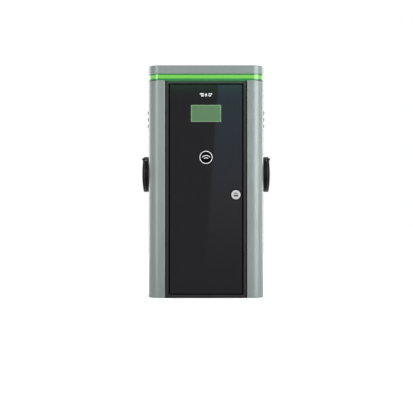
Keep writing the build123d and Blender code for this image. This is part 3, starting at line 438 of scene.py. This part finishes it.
def add_tube(mesh_data, points, radius, sides=10, steps=8):
    """A wire that runs smoothly through its points."""
    path = []
    ends = [points[0], *points, points[-1]]
    for before, here, after, beyond in zip(ends, ends[1:], ends[2:], ends[3:]):
        a, b, c, d = Vector(before), Vector(here), Vector(after), Vector(beyond)
        for step in range(steps):
            t = step / steps
            bend = 2 * b + (c - a) * t + (2 * a - 5 * b + 4 * c - d) * t**2 + (3 * b - a - 3 * c + d) * t**3
            path.append(bend / 2)
    path.append(Vector(points[-1]))
    loops = []
    side = Vector((0.31, 0.17, 0.93))
    for index, place in enumerate(path):
        ahead = path[min(index + 1, len(path) - 1)] - path[max(index - 1, 0)]
        ahead.normalize()
        side = (side - ahead * side.dot(ahead)).normalized()
        across = ahead.cross(side)
        loops.append([
            mesh_data.verts.new(place + (side * math.cos(turn) + across * math.sin(turn)) * radius)
            for turn in (2 * math.pi * corner / sides for corner in range(sides))
        ])
    for here, after in zip(loops, loops[1:]):
        for corner in range(sides):
            nxt = (corner + 1) % sides
            mesh_data.faces.new((here[corner], here[nxt], after[nxt], after[corner]))
    mesh_data.faces.new(loops[-1])
    mesh_data.faces.new(list(reversed(loops[0])))


def add_cross_screw(heads, slots, x, z, radius, back, front):
    """A screw head facing the door, with its cross recess drawn as two dark bars: painted shade in place of the
    recess.
    """
    add_ring(heads, x, z, radius * 0.05, radius, back, front, steps=20)
    reach, half = radius * 0.62, radius * 0.13
    face = front + (0.1 if back < front else -0.1) * MM
    for wide, tall in ((reach, half), (half, reach)):
        add_prism(slots, [(x - wide, z - tall), (x + wide, z - tall), (x + wide, z + tall), (x - wide, z + tall)],
                  front, face)


def add_screw_row(heads, slots, x, z, count, pitch, radius, back, front):
    """Cross screws in a level row about x."""
    for index in range(count):
        add_cross_screw(heads, slots, x + (index - (count - 1) / 2) * pitch, z, radius, back, front)


# ---------------------------------------------------------------------------------------------
# Front: seals, lock face and printed signs
# ---------------------------------------------------------------------------------------------
FACE_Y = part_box("door_fascia")[0][1]
PRINT = 0.15 * MM           # how far a print stands off its face
BACKING = 0.08 * MM         # the same for a black print under another one
JOINT_X = 291.1 * MM        # the joint between a column and a side panel
JOINT_Y = 120 * MM
JOINT_OUT = (0.866, 0.5)    # the way that joint faces
MARK_Z = 1048 * MM


def add_frame_gap_shade():
    """Black strip down both joints between the door frame and the columns: painted shade in the gaps there."""
    low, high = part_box("door_frame")
    # painted shade: a dark strip in the gap beside the door frame
    strip = bmesh.new()
    for side in (-1, 1):
        edge = side * (high[0] - 0.3 * MM)
        inner = edge - side * 5.5 * MM
        left, right = sorted((edge, inner))
        add_block(strip, (left, low[1] - 0.9 * MM, low[2]), (right, low[1] + 0.2 * MM, high[2]), 0.4 * MM)
    finish_piece("frame_gap_shade", strip, "cabinet", "dark_hole")


def add_side_joints():
    """Dark seals in the four joints between the columns and the side panels."""
    low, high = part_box("left_front_column")
    seals = bmesh.new()
    for across in (-1, 1):
        for along in (-1, 1):
            spot = Vector((across * JOINT_X, along * JOINT_Y))
            out = Vector((across * JOINT_OUT[0], along * JOINT_OUT[1]))
            tangent = Vector((-out.y, out.x))
            outline = [spot + (tangent * a + out * b) * MM
                       for a, b in ((-0.8, -0.8), (0.8, -0.8), (0.8, 0.22), (-0.8, 0.22))]
            add_column(seals, outline, low[2], high[2])
    finish_piece("side_joints", seals, "cabinet", "seal_rubber")


def add_ring_glow_strip():
    """Strip in the joint under the light band, right round the post, that glows deep green: painted glow standing in
    for the band's light in that joint.
    """
    band = NODES["light_ring"].data
    points = [Vector((vert.co.x, vert.co.y)) for vert in band.vertices]
    outline = [points[index] for index in mathutils.geometry.convex_hull_2d(points)]
    bottom, top = light_low[2] - 2.9 * MM, light_low[2] - 0.2 * MM
    # painted light: the strip glows green in place of the band's light reflected in the joint
    strip = bmesh.new()
    loops = []
    for inset, z in ((0.4, bottom), (0.4, top), (1.6, top), (1.6, bottom)):
        loops.append([
            strip.verts.new((
                place.x - math.copysign(min(inset * MM, abs(place.x)), place.x),
                place.y - math.copysign(min(inset * MM, abs(place.y)), place.y), z,
            )) for place in outline
        ])
    join_loops(strip, loops, True)
    finish_piece("ring_glow_strip", strip, "cabinet", "painted_ring_glow")


def add_lock_face():
    """Raised rim, a half-moon of painted shadow in the upper groove round the plug, and the key slot drawn as painted
    shade, on the turning barrel.
    """
    low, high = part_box("lock_barrel")
    x, _, z = middle("lock_barrel")
    front = low[1]
    rim = bmesh.new()
    add_ring(rim, x, z, 12.6 * MM, 14.8 * MM, front, front - 0.6 * MM)
    add_prism(rim, [(x - 11 * MM, z + 0.2 * MM), (x + 11 * MM, z + 0.2 * MM), (x + 10.4 * MM, z + 3.4 * MM),
                    (x - 10.4 * MM, z + 3.4 * MM)], front, front - 0.7 * MM)
    finish_piece("lock_rim", rim, "lock_core", "lock_chrome")
    # painted shadow: dark half-moon where the groove round the plug lies in shade on its upper side
    groove_shade = bmesh.new()
    add_ring(groove_shade, x, z + 1 * MM, 7.6 * MM, 9.8 * MM, front, front - 0.35 * MM, 18, 162, 28)
    finish_piece("lock_groove_shade", groove_shade, "lock_core", "lock_shade")
    # painted shade: the key slot is a dark shape standing a little off the face, not an opening
    slot = bmesh.new()
    outline = []
    for side, start in ((1, -90), (-1, 90)):
        for step in range(9):
            turn = math.radians(start + 180 * step / 8)
            outline.append((x + (side * 9.5 + 3.2 * math.cos(turn)) * MM, z + (3.2 * math.sin(turn) - 4.4) * MM))
    add_prism(slot, outline, front, front - 0.25 * MM)
    finish_piece("lock_slot", slot, "lock_core", "dark_hole")
    ring = bmesh.new()
    low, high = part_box("lock_rosette")
    radius = (high[0] - low[0]) / 2
    add_ring(ring, x, z, radius - 3.2 * MM, radius - 0.4 * MM, low[1], low[1] - 0.8 * MM)
    finish_piece("rosette_rim", ring, "door", "lock_chrome")
    # painted shadow: a dark ring on the sheet round the rosette
    shadow_ring = bmesh.new()
    add_ring(shadow_ring, x, z, radius, radius + 5 * MM, FACE_Y, FACE_Y - 0.5 * MM)
    finish_piece("rosette_shadow_ring", shadow_ring, "door", "dark_hole")


def add_lock_shade():
    """Thin black ring on the glossy sheet round the lock's rosette: a painted shadow round the lock."""
    low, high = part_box("lock_rosette")
    x, _, z = middle("lock_rosette")
    edge = (high[0] - low[0]) / 2
    shade = bmesh.new()
    add_ring(shade, x, z, edge - 2 * MM, edge + 6 * MM, FACE_Y, FACE_Y - BACKING)
    finish_piece("lock_shade_ring", shade, "door", "print_and_shadow_black")


def add_reader_badge():
    """Ring with two rising waves on a dark disc, the general sign for holding a card here."""
    reader_x, _, reader_z = middle("rfid_reader")
    disc = bmesh.new()
    add_ring(disc, reader_x, reader_z, 0.3 * MM, 37 * MM, FACE_Y, FACE_Y - BACKING)
    finish_piece("reader_disc", disc, "door", "print_and_shadow_black")
    badge = bmesh.new()
    add_ring(badge, reader_x, reader_z, 30.0 * MM, 33.3 * MM, FACE_Y, FACE_Y - PRINT)
    for centre_z, radius, width, start in ((-13.7, 23.7, 3.2, 33), (-16.5, 14.0, 3.0, 44)):
        add_ring(badge, reader_x, reader_z + centre_z * MM, (radius - width / 2) * MM, (radius + width / 2) * MM,
                 FACE_Y, FACE_Y - PRINT, start, 180 - start, 24)
    finish_piece("reader_badge", badge, "door", "print_white")


def add_front_mark():
    """Neutral charging sign above the window: a bolt between four bars."""
    bolt = [(2.5, 11), (-8, -1.5), (-1.5, -1.5), (-2.5, -11), (8, 1.5), (1.5, 1.5)]
    mark = bmesh.new()
    add_prism(mark, [(x * MM, MARK_Z + z * MM) for x, z in bolt], FACE_Y, FACE_Y - PRINT)
    for side in (-1, 1):
        for length, height in ((20, 5), (14, -5)):
            near = side * 12 * MM
            far = side * (12 + length) * MM
            low = MARK_Z + (height - 2.6) * MM
            high = MARK_Z + (height + 2.6) * MM
            add_prism(mark, [(near, low), (far, low), (far, high), (near, high)], FACE_Y, FACE_Y - PRINT)
    finish_piece("front_mark", mark, "door", "print_white")


def add_window_border():
    """Thin lighter edge round the display window."""
    low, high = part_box("display_window")
    width = 3.4 * MM
    border = bmesh.new()
    strips = (
        (low[0], high[0], high[2] - width, high[2]),
        (low[0], high[0], low[2], low[2] + width),
        (low[0], low[0] + width, low[2] + width, high[2] - width),
        (high[0] - width, high[0], low[2] + width, high[2] - width),
    )
    for left, right, bottom, top in strips:
        add_prism(border, [(left, bottom), (right, bottom), (right, top), (left, top)], low[1], low[1] - PRINT)
    finish_piece("window_border", border, "door", "lcd_edge")


# ---------------------------------------------------------------------------------------------
# Sides: lids and socket faces
# ---------------------------------------------------------------------------------------------
def lathe_ring(mesh_data, centre, side, profile, start=0.0, stop=360.0, steps=72):
    """Turns a closed profile of (radius, distance outwards) about the socket's axis."""
    angles, whole = arc_angles(start, stop, steps)
    loops = [
        [mesh_data.verts.new((side * out, centre[1] + r * math.cos(angle), centre[2] + r * math.sin(angle)))
         for r, out in profile]
        for angle in angles
    ]
    join_loops(mesh_data, loops, whole)


LID_DOME_RADIUS = 460 * MM
FLANGE_SCREW_CIRCLE = 68 * MM


def add_lid_details(name, side):
    """Grip ridges and a soft rim line on the lid, screws on the socket's flange."""
    low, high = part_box(f"{name}_lid")
    centre = (0, 0, low[2] + (high[1] - low[1]) / 2)
    outer = max(abs(low[0]), abs(high[0]))
    back = min(abs(low[0]), abs(high[0]))
    radius = (high[1] - low[1]) / 2
    rim = bmesh.new()
    profile = [(radius - 0.6 * MM, back + 2 * MM), (radius + 0.5 * MM, back + 2.6 * MM),
               (radius + 0.5 * MM, back + 6.4 * MM), (radius - 0.6 * MM, back + 7 * MM)]
    lathe_ring(rim, centre, side, profile, 128, 412, 96)
    finish_piece(f"{name}_lid_rim", rim, f"{name}_lid", "rim_grey")
    grip = bmesh.new()
    for index in range(5):
        place = radius - (17 + 4.5 * index) * MM
        crown = outer - place**2 / (2 * LID_DOME_RADIUS)
        lathe_ring(grip, centre, side, [(place - 1.1 * MM, crown - 2 * MM), (place - 0.6 * MM, crown + 0.5 * MM),
                                        (place + 0.6 * MM, crown + 0.4 * MM), (place + 1.1 * MM, crown - 2 * MM)],
                   255 + index, 285 - index, 18)
    finish_piece(f"{name}_lid_grip", grip, f"{name}_lid", "cover_black")
    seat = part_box("socket_seals")[1][0] - 2.5 * MM
    heads = bmesh.new()
    holes = bmesh.new()
    for turn in (45, 135, 225, 315):
        run, rise = math.cos(math.radians(turn)), math.sin(math.radians(turn))
        spot = (0, centre[1] + FLANGE_SCREW_CIRCLE * run, centre[2] + FLANGE_SCREW_CIRCLE * rise)
        lathe_ring(heads, spot, side, [(0.4 * MM, seat), (5 * MM, seat), (5 * MM, seat + 1.4 * MM),
                                       (3.6 * MM, seat + 2.4 * MM), (0.4 * MM, seat + 2.4 * MM)], steps=24)
        # painted shade: a dark disc on each head in place of the screw's socket
        lathe_ring(holes, spot, side, [(0.1 * MM, seat + 2.3 * MM), (1.9 * MM, seat + 2.3 * MM),
                                       (1.9 * MM, seat + 2.45 * MM), (0.1 * MM, seat + 2.45 * MM)], steps=6)
    finish_piece(f"{name}_flange_screws", heads, "cabinet", "steel")
    finish_piece(f"{name}_flange_screw_sockets", holes, "cabinet", "dark_hole")


# ---------------------------------------------------------------------------------------------
# Inside: rail devices, ducts and wires
# ---------------------------------------------------------------------------------------------
BREAKER_X = 95 * MM
CONTROLLER_X = 110 * MM
METER_X = 130 * MM
CONTACTOR_X = 52 * MM
POLES = 4
TERMINALS = 24
EARTH_SCREWS = 12


def add_breaker_faces():
    """Pole joints, terminal screws, printed bars and state windows on the two breakers."""
    joints, screws, slots, prints, windows = (bmesh.new() for _ in range(5))
    for name in ("left_breaker", "right_breaker"):
        low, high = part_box(name)
        pole = (high[0] - low[0]) / POLES
        face = low[1]
        shoulder = face + 18 * MM
        for index in range(1, POLES):
            seam = low[0] + pole * index
            add_span(joints, (seam, shoulder, low[2]), (-0.4, 0.4), (-0.3, 0.5), (1, 18), 0.1)
            add_span(joints, (seam, shoulder, high[2]), (-0.4, 0.4), (-0.3, 0.5), (-18, -1), 0.1)
        for index in range(POLES):
            x = low[0] + pole * (index + 0.5)
            for z in (low[2] + 9 * MM, high[2] - 9 * MM):
                add_cross_screw(screws, slots, x, z, 3.6 * MM, shoulder + 1 * MM, shoulder - 0.8 * MM)
            add_span(prints, (x, face, high[2]), (-6, 6), (-0.2, 0.2), (-27, -25.5), 0.1)
            add_span(windows, (x, face, low[2]), (-2.4, 2.4), (-0.4, 0.3), (22, 26), 0.2)
    finish_piece("breaker_joints", joints, "cabinet", "dark_hole")
    finish_piece("breaker_screws", screws, "cabinet", "steel")
    finish_piece("breaker_screw_slots", slots, "cabinet", "dark_hole")
    finish_piece("breaker_prints", prints, "cabinet", "print_grey")
    finish_piece("breaker_windows", windows, "cabinet", "signal_red")


def add_device_faces():
    """Meter displays, controller and supply fronts, contactor covers and their terminals."""
    covers, frames, displays, leds, screws, slots, plugs, prints = (bmesh.new() for _ in range(8))
    for side in (-1, 1):
        low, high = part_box("energy_meters")
        spot = x, face, z = side * METER_X, low[1], (low[2] + high[2]) / 2
        add_span(frames, spot, (-28, 28), (-1.0, 0.3), (4, 27), 0.8)
        add_span(displays, spot, (-25, 25), (-1.4, -0.4), (7, 24), 0.3)
        for index in range(6):
            digit = -21 + 7.6 * index
            add_span(prints, spot, (digit, digit + 4.4), (-1.6, -1.3), (10, 21), 0.1)
        add_ring(leds, x + 22 * MM, z - 6 * MM, 0.1 * MM, 2 * MM, face, face - 1.0 * MM, steps=20)
        add_ring(covers, x - 20 * MM, z - 8 * MM, 0.2 * MM, 5.4 * MM, face, face - 1.8 * MM, steps=28)
        add_screw_row(screws, slots, x, low[2] + 8 * MM, 8, 8 * MM, 2.6 * MM, face + 0.5 * MM, face - 0.8 * MM)

        low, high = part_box("contactors")
        spot = x, face, z = side * CONTACTOR_X, low[1], (low[2] + high[2]) / 2
        add_span(covers, spot, (-19, 19), (-1.6, 0.4), (-17, 17), 1.2)
        for bar in (-7, 0, 7):
            add_span(prints, spot, (-13, 13), (-1.8, -1.5), (bar - 0.8, bar + 0.8), 0.1)
        for level in (low[2] + 9 * MM, high[2] - 9 * MM):
            add_screw_row(screws, slots, x, level, POLES, 13 * MM, 4 * MM, face + 0.5 * MM, face - 1.0 * MM)

        low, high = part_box("charge_controllers")
        spot = x, face, z = side * CONTROLLER_X, low[1], (low[2] + high[2]) / 2
        add_span(frames, spot, (-36, 36), (-0.8, 0.3), (-22, 22), 0.6)
        for index in range(5):
            lamp = -26 + 13 * index
            add_ring(leds, x + lamp * MM, z + 14 * MM, 0.1 * MM, 1.9 * MM, face - 0.6 * MM, face - 1.6 * MM, steps=20)
            add_span(prints, spot, (lamp - 4, lamp + 4), (-1.0, -0.7), (7, 8.4), 0.1)
        for level in (low[2] + 11 * MM, high[2] - 11 * MM):
            add_span(plugs, (x, face, level), (-38, 38), (-7, 1), (-7, 7), 0.8)
            add_screw_row(screws, slots, x, level + 2 * MM, 10, 7.5 * MM, 2.2 * MM, face - 6.8 * MM, face - 7.6 * MM)

    low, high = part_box("power_supply")
    face, z = low[1], (low[2] + high[2]) / 2
    # painted shade: the vent slits are dark bars on the face in place of openings
    for index in range(9):
        slit = -22 + 4.2 * index
        add_span(slots, (0, face, z), (-20, 20), (-0.2, 0.4), (slit, slit + 1.8), 0.1)
    add_ring(leds, 20 * MM, z + 22 * MM, 0.1 * MM, 2.2 * MM, face, face - 1.0 * MM, steps=20)
    add_ring(covers, 4 * MM, z + 22 * MM, 1.2 * MM, 5 * MM, face, face - 1.5 * MM, steps=28)
    for level in (low[2] + 7 * MM, high[2] - 7 * MM):
        add_screw_row(screws, slots, 0, level, 5, 10 * MM, 2.8 * MM, face + 0.4 * MM, face - 0.8 * MM)
    finish_piece("device_covers", covers, "cabinet", "device_dark")
    finish_piece("device_frames", frames, "cabinet", "device_dark")
    finish_piece("meter_displays", displays, "cabinet", "lcd_edge")
    finish_piece("device_leds", leds, "cabinet", "led_green")
    finish_piece("device_screws", screws, "cabinet", "steel")
    finish_piece("device_slots", slots, "cabinet", "dark_hole")
    finish_piece("plug_terminals", plugs, "cabinet", "terminal_green")
    finish_piece("device_prints", prints, "cabinet", "print_grey")


def add_terminal_details():
    """Marker strips, screws and coloured earth caps on the terminal row, screws on the earth bar."""
    low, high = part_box("terminal_blocks")
    pitch = (high[0] - low[0]) / TERMINALS
    face, middle_z = low[1], (low[2] + high[2]) / 2
    markers, screws, slots, caps = (bmesh.new() for _ in range(4))
    for index in range(TERMINALS):
        x = low[0] + pitch * (index + 0.5)
        add_span(markers, (x, face, middle_z), (-3.4, 3.4), (-1.2, 0.6), (-5, 5), 0.4)
        for level in (-18, 18):
            add_cross_screw(screws, slots, x, middle_z + level * MM, 2.9 * MM, face + 0.8 * MM, face - 0.6 * MM)
        if index % 6 == 5:
            add_block(caps, (x - 5.6 * MM, face - 0.8 * MM, middle_z + 24 * MM),
                      (x + 5.6 * MM, face + 3 * MM, high[2] - 0.5 * MM), 0.5 * MM)
    low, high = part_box("earth_bar")
    add_screw_row(screws, slots, (low[0] + high[0]) / 2, (low[2] + high[2]) / 2, EARTH_SCREWS,
                  (high[0] - low[0]) / EARTH_SCREWS, 4.2 * MM, low[1] + 0.5 * MM, low[1] - 3 * MM)
    finish_piece("terminal_markers", markers, "cabinet", "print_white")
    finish_piece("terminal_screws", screws, "cabinet", "steel")
    finish_piece("terminal_slots", slots, "cabinet", "dark_hole")
    finish_piece("earth_caps", caps, "cabinet", "terminal_green")


def add_wire_ducts():
    """Slotted ducts across the mounting plate, each with a comb of fingers and a lid."""
    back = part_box("mounting_plate")[0][1]
    depth, finger_pitch = 34, 12.2
    body, lids = bmesh.new(), bmesh.new()
    for level, reach, fingers in ((350, 112, 18), (708, 182, 30), (880, 182, 30)):
        place = (0, back, level * MM)
        add_span(body, place, (-reach, reach), (-3, -0.3), (-19, 19), 0.5)
        for wall in (-18, 18):
            for index in range(fingers):
                x = (index - (fingers - 1) / 2) * finger_pitch
                add_span(body, place, (x - 4.4, x + 4.4), (-depth, -2.6), (wall - 0.8, wall + 0.8), 0.3)
        add_span(lids, place, (-reach, reach), (-depth - 1.6, -depth + 0.4), (-20, 20), 0.7)
    finish_piece("wire_ducts", body, "cabinet", "duct_grey")
    finish_piece("duct_lids", lids, "cabinet", "duct_grey")


def add_device_wires():
    """Wires between the ducts and the rail devices."""
    looks = {name: bmesh.new() for name in ("wire_brown", "wire_blue", "wire_black", "wire_green")}
    names = list(looks)

    def add_wire(index, radius, *points):
        """A wire through points in millimetres, coloured by its place in the row."""
        add_tube(looks[names[index % 4]], [[part * MM for part in point] for point in points], radius * MM)

    for side in (-1, 1):
        for index in range(POLES):
            x = side * BREAKER_X / MM + (index - 1.5) * 18.5
            for start, end in ((758, 724), (842, 862)):
                add_wire(index, 2.2, (x, 26, start), (x, 30, start * 0.6 + end * 0.4), (x, 50, (start + end) / 2),
                         (x + 3, 60, end))
        for index in range(POLES):
            x = side * CONTACTOR_X / MM + (index - 1.5) * 13
            add_wire(index, 2.2, (x, 20, 662), (x, 22, 672), (x, 45, 682), (x + 4, 60, 692))
        for index in range(7):
            x = side * CONTROLLER_X / MM + (index - 3) * 9
            add_wire(index, 1.3, (x, 6, 919), (x, 6, 910), (x, 36, 904), (x + 2, 60, 897))
    for index in range(TERMINALS):
        if index % 3 == 2:
            continue
        x = -143.6 + 12.5 * index
        add_wire(index, 1.8, (x, 40, 280), (x, 40, 296), (x, 50, 312), (x + 3, 62, 332))
    for name, mesh_data in looks.items():
        finish_piece(f"{name}s", mesh_data, "cabinet", name)


def add_door_back():
    """Parts on the inside of the door: circuit board, reader cable, document pocket and stiffeners."""
    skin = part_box("door_pan")[0][1] + 1.5 * MM
    module_low, module_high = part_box("display_module")
    back = module_high[1]
    board, chips, pocket, ribs, cable = (bmesh.new() for _ in range(5))
    add_block(board, (module_low[0] + 10 * MM, back, module_low[2] + 12 * MM),
              (module_high[0] - 10 * MM, back + 1.6 * MM, module_high[2] - 12 * MM), 0.3 * MM)
    chip_places = ((-48, 930, 9, 9), (-20, 962, 14, 7), (22, 940, 12, 12), (50, 968, 7, 10), (44, 925, 12, 5))
    for x, z, wide, tall in chip_places:
        add_span(chips, (x * MM, back, z * MM), (-wide, wide), (1.2, 2.3), (-tall, tall), 0.3)
    inside = (0, skin, 0)
    for index in range(7):
        x = -132 + 44 * index
        add_span(ribs, inside, (x - 5, x + 5), (-0.3, 3), (60, 170), 1)
    add_span(pocket, inside, (-110, 110), (14, 16), (200, 330), 0.8)
    add_span(pocket, inside, (-110, 110), (0, 16), (198, 201), 0.8)
    for side in (-1, 1):
        add_span(pocket, inside, sorted((side * 110, side * 107.6)), (0, 16), (198, 330), 0.8)
    _, reader_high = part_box("rfid_reader")
    plug_y = skin + 6 * MM
    add_tube(cable, [
        (20 * MM, reader_high[1], reader_high[2] - 12 * MM),
        (26 * MM, reader_high[1] + 3 * MM, reader_high[2] + 10 * MM),
        (48 * MM, plug_y + 4 * MM, reader_high[2] + 50 * MM),
        (52 * MM, plug_y + 6 * MM, module_low[2] - 30 * MM),
        (44 * MM, back + 1 * MM, module_low[2] + 14 * MM),
    ], 1.8 * MM)
    add_tube(cable, [
        (-40 * MM, back + 1 * MM, module_low[2] + 16 * MM),
        (-70 * MM, plug_y + 8 * MM, module_low[2] - 30 * MM),
        (-150 * MM, plug_y + 6 * MM, 820 * MM),
        (-166 * MM, plug_y + 4 * MM, 700 * MM),
        (-164 * MM, plug_y + 4 * MM, 420 * MM),
        (-150 * MM, plug_y, 350 * MM),
        (-112 * MM, plug_y, 320 * MM),
    ], 2.4 * MM)
    finish_piece("display_board", board, "door", "board_green")
    finish_piece("board_chips", chips, "door", "dark_hole")
    finish_piece("door_ribs", ribs, "door", "frame_paint")
    finish_piece("document_pocket", pocket, "door", "duct_grey")
    finish_piece("door_cables", cable, "door", "lead_black")


# ---------------------------------------------------------------------------------------------
# Rear: plate, screw recesses and vent filters
# ---------------------------------------------------------------------------------------------
def add_rear_details():
    """Dark hexagons as painted shade in the screws' recesses, a blank rating plate with rivets and pleated filters
    behind the vents.
    """
    _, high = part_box("rear_panel")
    skin = high[1]
    recess, plate, lines, filters, rivets = (bmesh.new() for _ in range(5))
    screws_low, screws_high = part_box("rear_panel_screws")
    reach = (screws_high[0] - screws_low[0]) / 2 - 5 * MM
    bottom, top = screws_low[2] + 5 * MM, screws_high[2] - 5 * MM
    for side in (-1, 1):
        for index in range(4):
            z = bottom + (top - bottom) * index / 3
            points = [(side * reach + 2.4 * MM * math.cos(turn), z + 2.4 * MM * math.sin(turn))
                      for turn in (math.radians(60 * corner) for corner in range(6))]
            # painted shade: a dark hexagon on each screw in place of its socket
            add_prism(recess, points, screws_high[1] - 0.5 * MM, screws_high[1] + 0.15 * MM)
    outside = (0, skin, 0)
    add_span(plate, outside, (-55, 55), (-0.2, 0.8), (300, 370), 0.3)
    for index, wide in enumerate((88, 70, 82, 52, 64)):
        z = 358 - 11 * index
        add_span(lines, outside, (45 - wide, 45), (0.6, 0.95), (z - 1.6, z + 1.6), 0.1)
    for x in (-50, 50):
        for z in (305, 365):
            add_ring(rivets, x * MM, z * MM, 0.2 * MM, 2.2 * MM, skin + 0.6 * MM, skin + 1.6 * MM, steps=20)
    pleats, filter_width, filter_reach = 22, 168 * MM, 42 * MM
    step = filter_width / pleats
    for middle_z in (160 * MM, high[2] - 81.8 * MM):
        for index in range(pleats):
            x = step * index - filter_width / 2
            outline = [(x, skin - 7 * MM), (x + step / 2, skin - 2.4 * MM), (x + step, skin - 7 * MM),
                       (x + step / 2, skin - 9 * MM)]
            add_column(filters, outline, middle_z - filter_reach, middle_z + filter_reach)
    finish_piece("rear_screw_recesses", recess, "cabinet", "dark_hole")
    finish_piece("rating_plate", plate, "cabinet", "plate_silver")
    finish_piece("rating_lines", lines, "cabinet", "print_grey")
    finish_piece("rating_rivets", rivets, "cabinet", "steel")
    finish_piece("vent_filters", filters, "cabinet", "dark_hole")


add_frame_gap_shade()
add_side_joints()
add_ring_glow_strip()
add_lock_face()
add_lock_shade()
add_reader_badge()
add_front_mark()
add_window_border()
add_lid_details("left", -1)
add_lid_details("right", 1)
add_breaker_faces()
add_device_faces()
add_terminal_details()
add_wire_ducts()
add_device_wires()
add_door_back()
add_rear_details()


# ---------------------------------------------------------------------------------------------
# Studio
# ---------------------------------------------------------------------------------------------
SCREEN_RADIUS = 9.0
FLOOR_RADIUS = 3.6
WALL_Y = -5.0


def add_floor():
    """Round pale floor under the post; glossy surfaces don't mirror it."""
    shader = Shader("floor")
    shader.set(specular_ior_level=0.1, emission_color=(1, 1, 1, 1), emission_strength=0.3)
    shader.color(shader.tint(shader.span(shader.noise(0.8, 3), 0, 1), (0.88, 0.88, 0.88, 1), (0.92, 0.92, 0.92, 1)))
    shader.roughness(shader.span(shader.noise(3, 3), 0.75, 0.85))
    disc = bmesh.new()
    bmesh.ops.create_circle(disc, cap_ends=True, segments=96, radius=FLOOR_RADIUS)
    floor = add_object("floor", disc, shader.material)
    floor.visible_glossy = False


def add_area_light(name, place, aim, size, power, color=(1, 1, 1)):
    """A rectangular softbox that shows in reflections and not to the camera."""
    light = bpy.data.lights.new(name, "AREA")
    light.shape = "RECTANGLE"
    light.size, light.size_y = size
    light.energy = power
    light.color = color
    lamp = bpy.data.objects.new(name, light)
    lamp.location = place
    lamp.rotation_euler = (Vector(aim) - Vector(place)).to_track_quat("-Z", "Y").to_euler()
    lamp.visible_camera = False
    bpy.context.scene.collection.objects.link(lamp)


def glow_along(name, axis):
    """A light-giving material with its emission node and a range along one axis, both still to be set."""
    material = bpy.data.materials.new(name)
    material.use_nodes = True
    tree = material.node_tree
    tree.nodes.remove(tree.nodes["Principled BSDF"])
    glow = tree.nodes.new("ShaderNodeEmission")
    place = tree.nodes.new("ShaderNodeTexCoord")
    parts = tree.nodes.new("ShaderNodeSeparateXYZ")
    reach = tree.nodes.new("ShaderNodeMapRange")
    tree.links.new(place.outputs["Object"], parts.inputs["Vector"])
    tree.links.new(parts.outputs[axis], reach.inputs["Value"])
    tree.links.new(glow.outputs["Emission"], tree.nodes["Material Output"].inputs["Surface"])
    return material, glow, reach


def add_reflected_wall():
    """Bluish wall beside the camera that only mirrors in the glossy door; it dims towards the floor."""
    material, glow, height = glow_along("reflected_wall", "Z")
    height.inputs["From Min"].default_value = -0.2
    height.inputs["From Max"].default_value = 2.0
    tree = material.node_tree
    ramp = tree.nodes.new("ShaderNodeValToRGB")
    tree.links.new(height.outputs["Result"], ramp.inputs["Fac"])
    tree.links.new(ramp.outputs["Color"], glow.inputs["Color"])
    stops = ramp.color_ramp.elements
    stops[0].position = 0.0
    stops[0].color = (0.27, 0.27, 0.27, 1)
    stops[1].position = 1.0
    stops[1].color = (0.44, 0.76, 1.0, 1)
    low = stops.new(0.34)
    low.color = (0.46, 0.45, 0.50, 1)
    sheet = bmesh.new()
    corners = ((-0.01, -0.2), (0.62, -0.2), (0.62, 2.6), (0.19, 2.6))
    sheet.faces.new([sheet.verts.new((x, WALL_Y, z)) for x, z in corners])
    wall = add_object("reflected_wall", sheet, material)
    wall.visible_camera = False
    wall.visible_diffuse = False
    wall.visible_shadow = False


def add_world():
    """Plain white surroundings."""
    world = bpy.data.worlds.new("studio")
    world.use_nodes = True
    background = world.node_tree.nodes["Background"]
    background.inputs["Color"].default_value = (1, 1, 1, 1)
    background.inputs["Strength"].default_value = 1.0
    bpy.context.scene.world = world


def add_front_screen():
    """Dim half-dome in front of the post, so the dark door has little to mirror; cameras don't see it."""
    material, glow, depth = glow_along("front_screen", "Y")
    depth.inputs["From Min"].default_value = -0.9 * SCREEN_RADIUS
    depth.inputs["From Max"].default_value = 0.1 * SCREEN_RADIUS
    depth.inputs["To Min"].default_value = 0.26
    depth.inputs["To Max"].default_value = 1.0
    material.node_tree.links.new(depth.outputs["Result"], glow.inputs["Strength"])
    dome = bmesh.new()
    bmesh.ops.create_uvsphere(dome, u_segments=64, v_segments=32, radius=SCREEN_RADIUS)
    behind = [vert for vert in dome.verts if vert.co.y > 0.12 * SCREEN_RADIUS]
    bmesh.ops.delete(dome, geom=behind, context="VERTS")
    screen = add_object("front_screen", dome, material)
    screen.visible_camera = False


def add_camera():
    """Level camera in front of the post, a little under half its height."""
    camera = bpy.data.cameras.new("camera")
    camera.lens = 69.35
    camera.sensor_width = 36
    eye = bpy.data.objects.new("camera", camera)
    eye.location = (0.0023, -4.25, 0.472)
    eye.rotation_euler = (math.radians(90), 0, 0)
    bpy.context.scene.collection.objects.link(eye)
    bpy.context.scene.camera = eye


add_floor()
add_world()
add_front_screen()
add_area_light("key_left", (-2.6, -3.8, 1.4), (-0.3, -0.1, 0.6), (1.3, 3.6), 100)
add_area_light("key_right", (3.1, -3.1, 1.4), (0.3, -0.1, 0.6), (2.9, 3.6), 225)
add_area_light("side_left", (-2.9, 2.2, 1.2), (-0.3, 0, 0.6), (1.6, 2.8), 45)
add_area_light("side_right", (2.9, 2.2, 1.2), (0.3, 0, 0.6), (1.6, 2.8), 45)
add_area_light("front_soft", (-0.4, -6.0, 3.4), (0, 0, 0.6), (2.0, 1.2), 12)
add_area_light("ring_spill", (0, -0.158, 1.1245), (0, -0.150, 0.5), (0.40, 0.012), 0.09, (0.12, 1.0, 0.3))
add_reflected_wall()
add_camera()
bpy.context.scene.view_settings.view_transform = "Standard"
